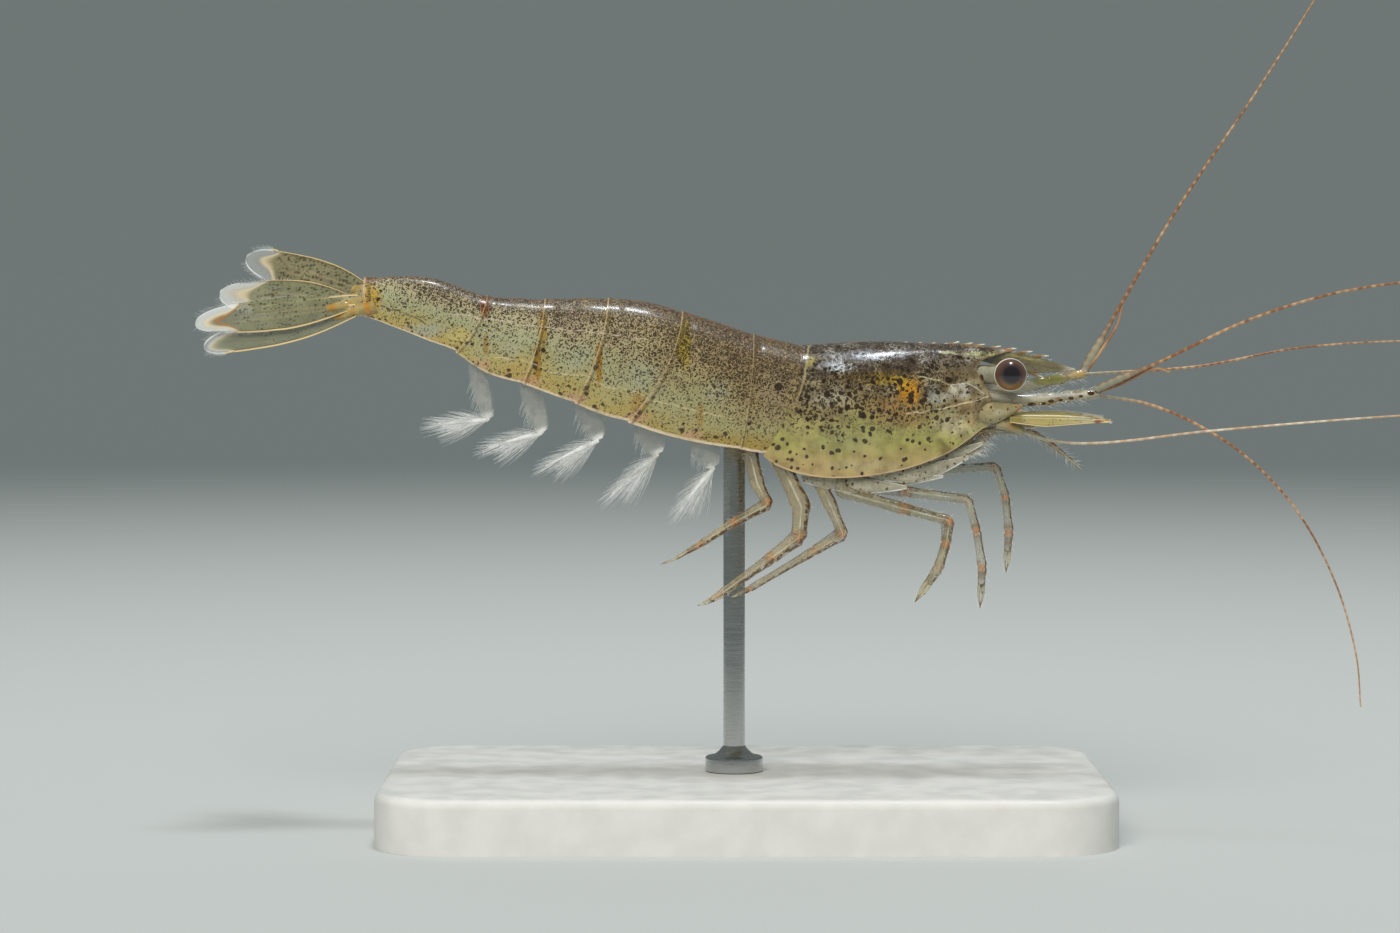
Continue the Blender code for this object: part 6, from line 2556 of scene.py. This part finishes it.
@dataclass(frozen=True)
class TailFan(Assembly):
    """The telson and the four blades beside it."""

    root: Point = (-22.1, 0.0, 28.85)
    yaw: float = 15.0
    pitch: float = -4.4
    roll: float = 46.0
    blades: tuple[tuple[Uropod, Side, Point, Point, float], ...] = (
        (Uropod.EXOPOD, Side.LEFT, (-20.9, 0.8, 29.75), (-28.3, 5.3, 31.95), 2.5),
        (Uropod.EXOPOD, Side.RIGHT, (-21.7, -0.75, 28.8), (-29.8, -1.95, 26.7), 2.4),
        (Uropod.ENDOPOD, Side.LEFT, (-22.0, 0.4, 29.2), (-29.5, 3.1, 29.8), 2.6),
        (Uropod.ENDOPOD, Side.RIGHT, (-22.0, -0.6, 28.95), (-30.35, -0.9, 27.8), 2.5),
    )
    telson_tip: Point = (-27.3, 1.2, 28.45)
    telson_widths: Profile = Profile.even((0.62, 0.68, 0.60, 0.50, 0.36, 0.2))
    telson_start: float = 1.2
    telson_rings: int = 30
    ridge_rings: int = 24
    root_rings: int = 24
    end_spines: int = 10

    def axes(self) -> tuple[Vector, Vector]:
        """Turn the fan as it is held.

        Returns:
            The directions to its left side and up from it.
        """
        yaw, pitch = math.radians(self.yaw), math.radians(self.pitch)
        along = Vector((-math.cos(yaw) * math.cos(pitch), math.sin(yaw) * math.cos(pitch), math.sin(pitch)))
        across = Matrix.Rotation(math.radians(-self.roll), 3, along) @ along.cross(UP).normalized()
        return across, across.cross(along).normalized()

    def build(self) -> None:
        """Build the blades, the fringe, the telson and the joint under them."""
        fringe = Bristles("fan_fringe")
        for kind, side, root, end, width in self.blades:
            self.build_blade(kind, side, Vector(root), Vector(end), width, fringe)
        self.build_telson(fringe)
        fringe.build(self.finishes[Look.BRISTLE], "clear_blade")

    def build_blade(self, kind: Uropod, side: Side, root: Vector, end: Vector, width: float, fringe: Bristles) -> None:
        """Build a blade and the fleshy root that carries it.

        Args:
            kind: the outer or the inner one.
            side: the half of the animal.
            root: where the blade starts.
            end: where it ends.
            width: how broad it is.
            fringe: the bristles to add to.
        """
        across, up = self.axes()
        outer = kind is Uropod.EXOPOD
        label = f"{kind.value}_{side.label}"
        start = root - up * (0.32 if outer else 0.05)
        run = end - up * (0.2 if outer else 0.0) - start
        ahead = run.normalized()
        blade = Blade(
            name=f"fan_{label}",
            node=f"uropod_{label}",
            root=start,
            along=ahead,
            across=(up.cross(ahead) * -side.value).normalized(),
            length=run.length,
            width=width,
            spine_at=0.85 if outer else 0.5,
            spined=outer,
            fringe=0.4,
        )
        near, far = (Look.CLEAR_FAN, Look.PALE_FAN) if outer else (Look.FAN, Look.MID_FAN)
        blade.build(self.finishes[near if side is Side.RIGHT else far], fringe)
        foot = Vector((-20.5, side.value * (0.55 if outer else 0.35), 29.35 + side.value * (0.35 if outer else 0.1)))
        count, size = self.root_rings, 0.58 if outer else 0.46
        radii = [size * (1.0 - 0.55 * i / (count - 1)) * (1.0 - 0.25 * bell(12.0, 1.2, i)) for i in range(count)]
        joint = [max(bell(4.0, 1.6, i), bell(12.0, 1.4, i), 0.8 * bell(20.0, 2.0, i)) for i in range(count)]
        bm = bmesh.new()
        add_tube(bm, straight(foot, start + ahead * 1.2, count), radii, 14, across, 0.7, joint=joint, tip=0.0)
        finish_piece(bm, f"fan_root_{label}", self.finishes[Look.ROOT], "translucent_shell")

    def build_telson(self, fringe: Bristles) -> None:
        """Build the tapering middle plate with its two ridges and its end spines.

        Args:
            fringe: the bristles to add to.
        """
        across, up = self.axes()
        count, ridge_count, half = self.telson_rings, self.ridge_rings, self.telson_widths
        start, end = (Vector(point) + up * 0.3 for point in (self.root, self.telson_tip))
        ahead = (end - start).normalized()
        path = straight(start - ahead * self.telson_start, end, count)
        bm = bmesh.new()
        add_tube(bm, path, [half.at(share) for share in steps(count)], 28, across, 0.36, edge=0.0, end=0.0, rib=0.0)
        shares = [0.06 + 0.86 * share for share in steps(ridge_count)]
        radii = [0.07 * (1.0 - 0.5 * share) for share in shares]
        for side in (1.0, -1.0):
            lift = across * (side * 0.55) + up * 0.26
            ridge = [path[round((count - 1) * share)] + lift * half.at(share) for share in shares]
            add_tube(bm, ridge, radii, 8, across, edge=0.85, end=0.0, rib=0.0)
        finish_piece(bm, "telson_plate", self.finishes[Look.TELSON], "clear_blade", "telson")
        for spread in (2.0 * share - 1.0 for share in steps(self.end_spines)):
            root = path[-1] + across * (0.13 * spread)
            tip = root + ahead * blend(0.55, 0.3, abs(spread)) + across * (0.16 * spread)
            fringe.grow(root, tip, UP * 0.0, 0.04)


# ---------------------------------------------------------------- stand and studio


@dataclass(frozen=True)
class Stand(Assembly):
    """The cast base and the turned rod that carry the model."""

    length: float = 40.0
    width: float = 24.0
    height: float = 3.0
    corner: float = 4.0
    edge: float = 0.5
    rod_x: float = -0.6
    rod_radius: float = 0.6
    rod_top: float = 21.65
    collar: tuple[float, float, float] = (1.6, 0.8, 0.6)
    gap: float = 0.05
    collar_edge: float = 0.12

    def build(self) -> None:
        """Build the base and the rod."""
        self.build_base()
        self.build_rod()

    def build_base(self) -> None:
        """Build the block with its rounded corners and rim."""
        bm = bmesh.new()
        size = Matrix.Diagonal((self.length, self.width, self.height, 1.0))
        bmesh.ops.create_cube(bm, size=1.0, matrix=Matrix.Translation((0.0, 0.0, 0.5 * self.height)) @ size)
        upright = [edge for edge in bm.edges if abs(edge.verts[0].co.z - edge.verts[1].co.z) > 0.5 * self.height]
        self.round_off(bm, upright, self.corner, 16)
        rim = [edge for edge in bm.edges if min(vert.co.z for vert in edge.verts) > self.height - 0.01]
        self.round_off(bm, rim, self.edge, 5)
        finish_piece(bm, "stand_base_block", self.finishes[Look.RESIN], "stand_resin", "stand_base", crease=40.0)

    def build_rod(self) -> None:
        """Turn the rod and its collar in one piece."""
        bottom = self.height + self.gap
        wide, tall, cone = self.collar
        rounded, shoulder = self.collar_edge, bottom + tall
        neck = wide - rounded
        outline = [(0.0, bottom), (wide, bottom), (wide, shoulder - rounded)]
        for turn in (0.4, 0.8, 1.2, 1.57):
            outline.append((neck + rounded * math.cos(turn), shoulder - rounded * (1.0 - math.sin(turn))))
        for t in (0.2, 0.4, 0.6, 0.8, 1.0):
            outline.append((blend(neck, self.rod_radius, t), shoulder + cone * t**2.2))
        outline += [(self.rod_radius, self.rod_top - 0.15), (self.rod_radius - 0.1, self.rod_top), (0.0, self.rod_top)]
        bm = bmesh.new()
        verts = [bm.verts.new((radius, 0.0, z)) for radius, z in outline]
        edges = [bm.edges.new(pair) for pair in zip(verts, verts[1:])]
        bmesh.ops.spin(
            bm, geom=verts + edges, cent=(0, 0, 0), axis=(0, 0, 1), angle=2.0 * math.pi, steps=48, use_merge=True
        )
        bmesh.ops.remove_doubles(bm, verts=bm.verts, dist=1e-4)
        bmesh.ops.translate(bm, vec=(self.rod_x, 0.0, 0.0), verts=bm.verts)
        finish_piece(bm, "stand_rod_turned", self.finishes[Look.STEEL], "stand_steel", "stand_rod", crease=35.0)

    def round_off(self, bm: BMesh, edges: list[bmesh.types.BMEdge], by: float, segments: int) -> None:
        """Round a set of edges.

        Args:
            bm: the mesh.
            edges: the edges.
            by: how far the rounding reaches.
            segments: how many steps it has.
        """
        bmesh.ops.bevel(
            bm, geom=edges, offset=by, segments=segments, profile=0.5, affect="EDGES", clamp_overlap=True, material=-1
        )


@dataclass(frozen=True)
class Lamp:
    """One distant light, which shines from its place towards the model; only a mirrored one shows in gloss."""

    name: str
    place: Point
    power: float
    colour: Colour = (1.0, 1.0, 1.0)
    spread: float = 20.0
    mirrored: bool = False

    def build(self, aim: Vector) -> None:
        """Add the light.

        Args:
            aim: the point that it shines at.
        """
        light = bpy.data.lights.new(self.name, "SUN")
        light.angle = math.radians(self.spread)
        light.energy, light.color = self.power, self.colour
        lamp = bpy.data.objects.new(self.name, light)
        bpy.context.collection.objects.link(lamp)
        lamp.visible_glossy = self.mirrored
        lamp.location = Vector(self.place) * MM
        lamp.rotation_euler = (aim * MM - lamp.location).to_track_quat("-Z", "Y").to_euler()


@dataclass(frozen=True)
class Studio(Assembly):
    """The floor, the backdrop, the lights and the camera."""

    aim: Point = (-2.5, 0.0, 20.0)
    distance: float = 216.0
    elevation: float = 3.0
    lens: float = 100.0
    backdrop: Colour = (0.16, 0.185, 0.18)
    lamps: tuple[Lamp, ...] = (
        Lamp("key_light", (-60.0, -270.0, 250.0), 2.5, (1.0, 0.97, 0.92), spread=40.0),
        Lamp("top_light", (20.0, 0.0, 300.0), 1.05, (0.90, 0.95, 1.0), spread=9.0, mirrored=True),
        Lamp("rear_light", (80.0, 300.0, 70.0), 0.9, (0.95, 0.98, 1.0), spread=90.0),
        Lamp("fill_light", (-120.0, -300.0, 30.0), 0.3, (0.92, 0.96, 1.0), spread=100.0),
    )
    floor_half: float = 12.0
    clip: tuple[float, float] = (0.01, 60.0)

    def build(self) -> None:
        """Build the studio."""
        for lamp in self.lamps:
            lamp.build(Vector(self.aim))
        self.build_air()
        self.build_floor()
        self.build_camera()

    def build_air(self) -> None:
        """Give the world its even colour."""
        world = bpy.data.worlds.new("studio_air")
        world.use_nodes = True
        air = world.node_tree.nodes["Background"]
        air.inputs["Color"].default_value = (*self.backdrop, 1.0)
        air.inputs["Strength"].default_value = 1.0
        bpy.context.scene.world = world

    def build_floor(self) -> None:
        """Lay the floor, which is part of the stage and not of the model."""
        bm = bmesh.new()
        bmesh.ops.create_grid(bm, x_segments=1, y_segments=1, size=self.floor_half)
        mesh = bpy.data.meshes.new("studio_floor")
        bm.to_mesh(mesh)
        bm.free()
        mesh.materials.append(self.finishes[Look.FLOOR])
        floor = bpy.data.objects.new("studio_floor", mesh)
        bpy.context.collection.objects.link(floor)

    def build_camera(self) -> None:
        """Set up the camera beside the model, on its right."""
        lens = bpy.data.cameras.new("studio_camera")
        lens.lens, lens.sensor_width = self.lens, 36.0
        lens.clip_start, lens.clip_end = self.clip
        camera = bpy.data.objects.new("studio_camera", lens)
        bpy.context.collection.objects.link(camera)
        up = math.radians(self.elevation)
        back = Vector((0.0, -math.cos(up), math.sin(up))) * self.distance
        camera.location = (Vector(self.aim) + back) * MM
        camera.rotation_euler = (-back).to_track_quat("-Z", "Y").to_euler()
        bpy.context.scene.camera = camera
        bpy.context.scene.view_settings.view_transform = "Standard"


# ---------------------------------------------------------------- all together


def main() -> None:
    """Build the shrimp, its stand and the studio."""
    logging.basicConfig(level=logging.INFO, format="%(name)s: %(message)s")
    finishes = make_finishes()
    for kind in (Body, Rostrum, Eyes, Antennules, Antennae, Mouth, Limbs, Pleopods, TailFan, Stand, Studio):
        LOG.info("building %s", kind.__name__)
        kind(finishes).build()


if __name__ == "__main__":
    main()
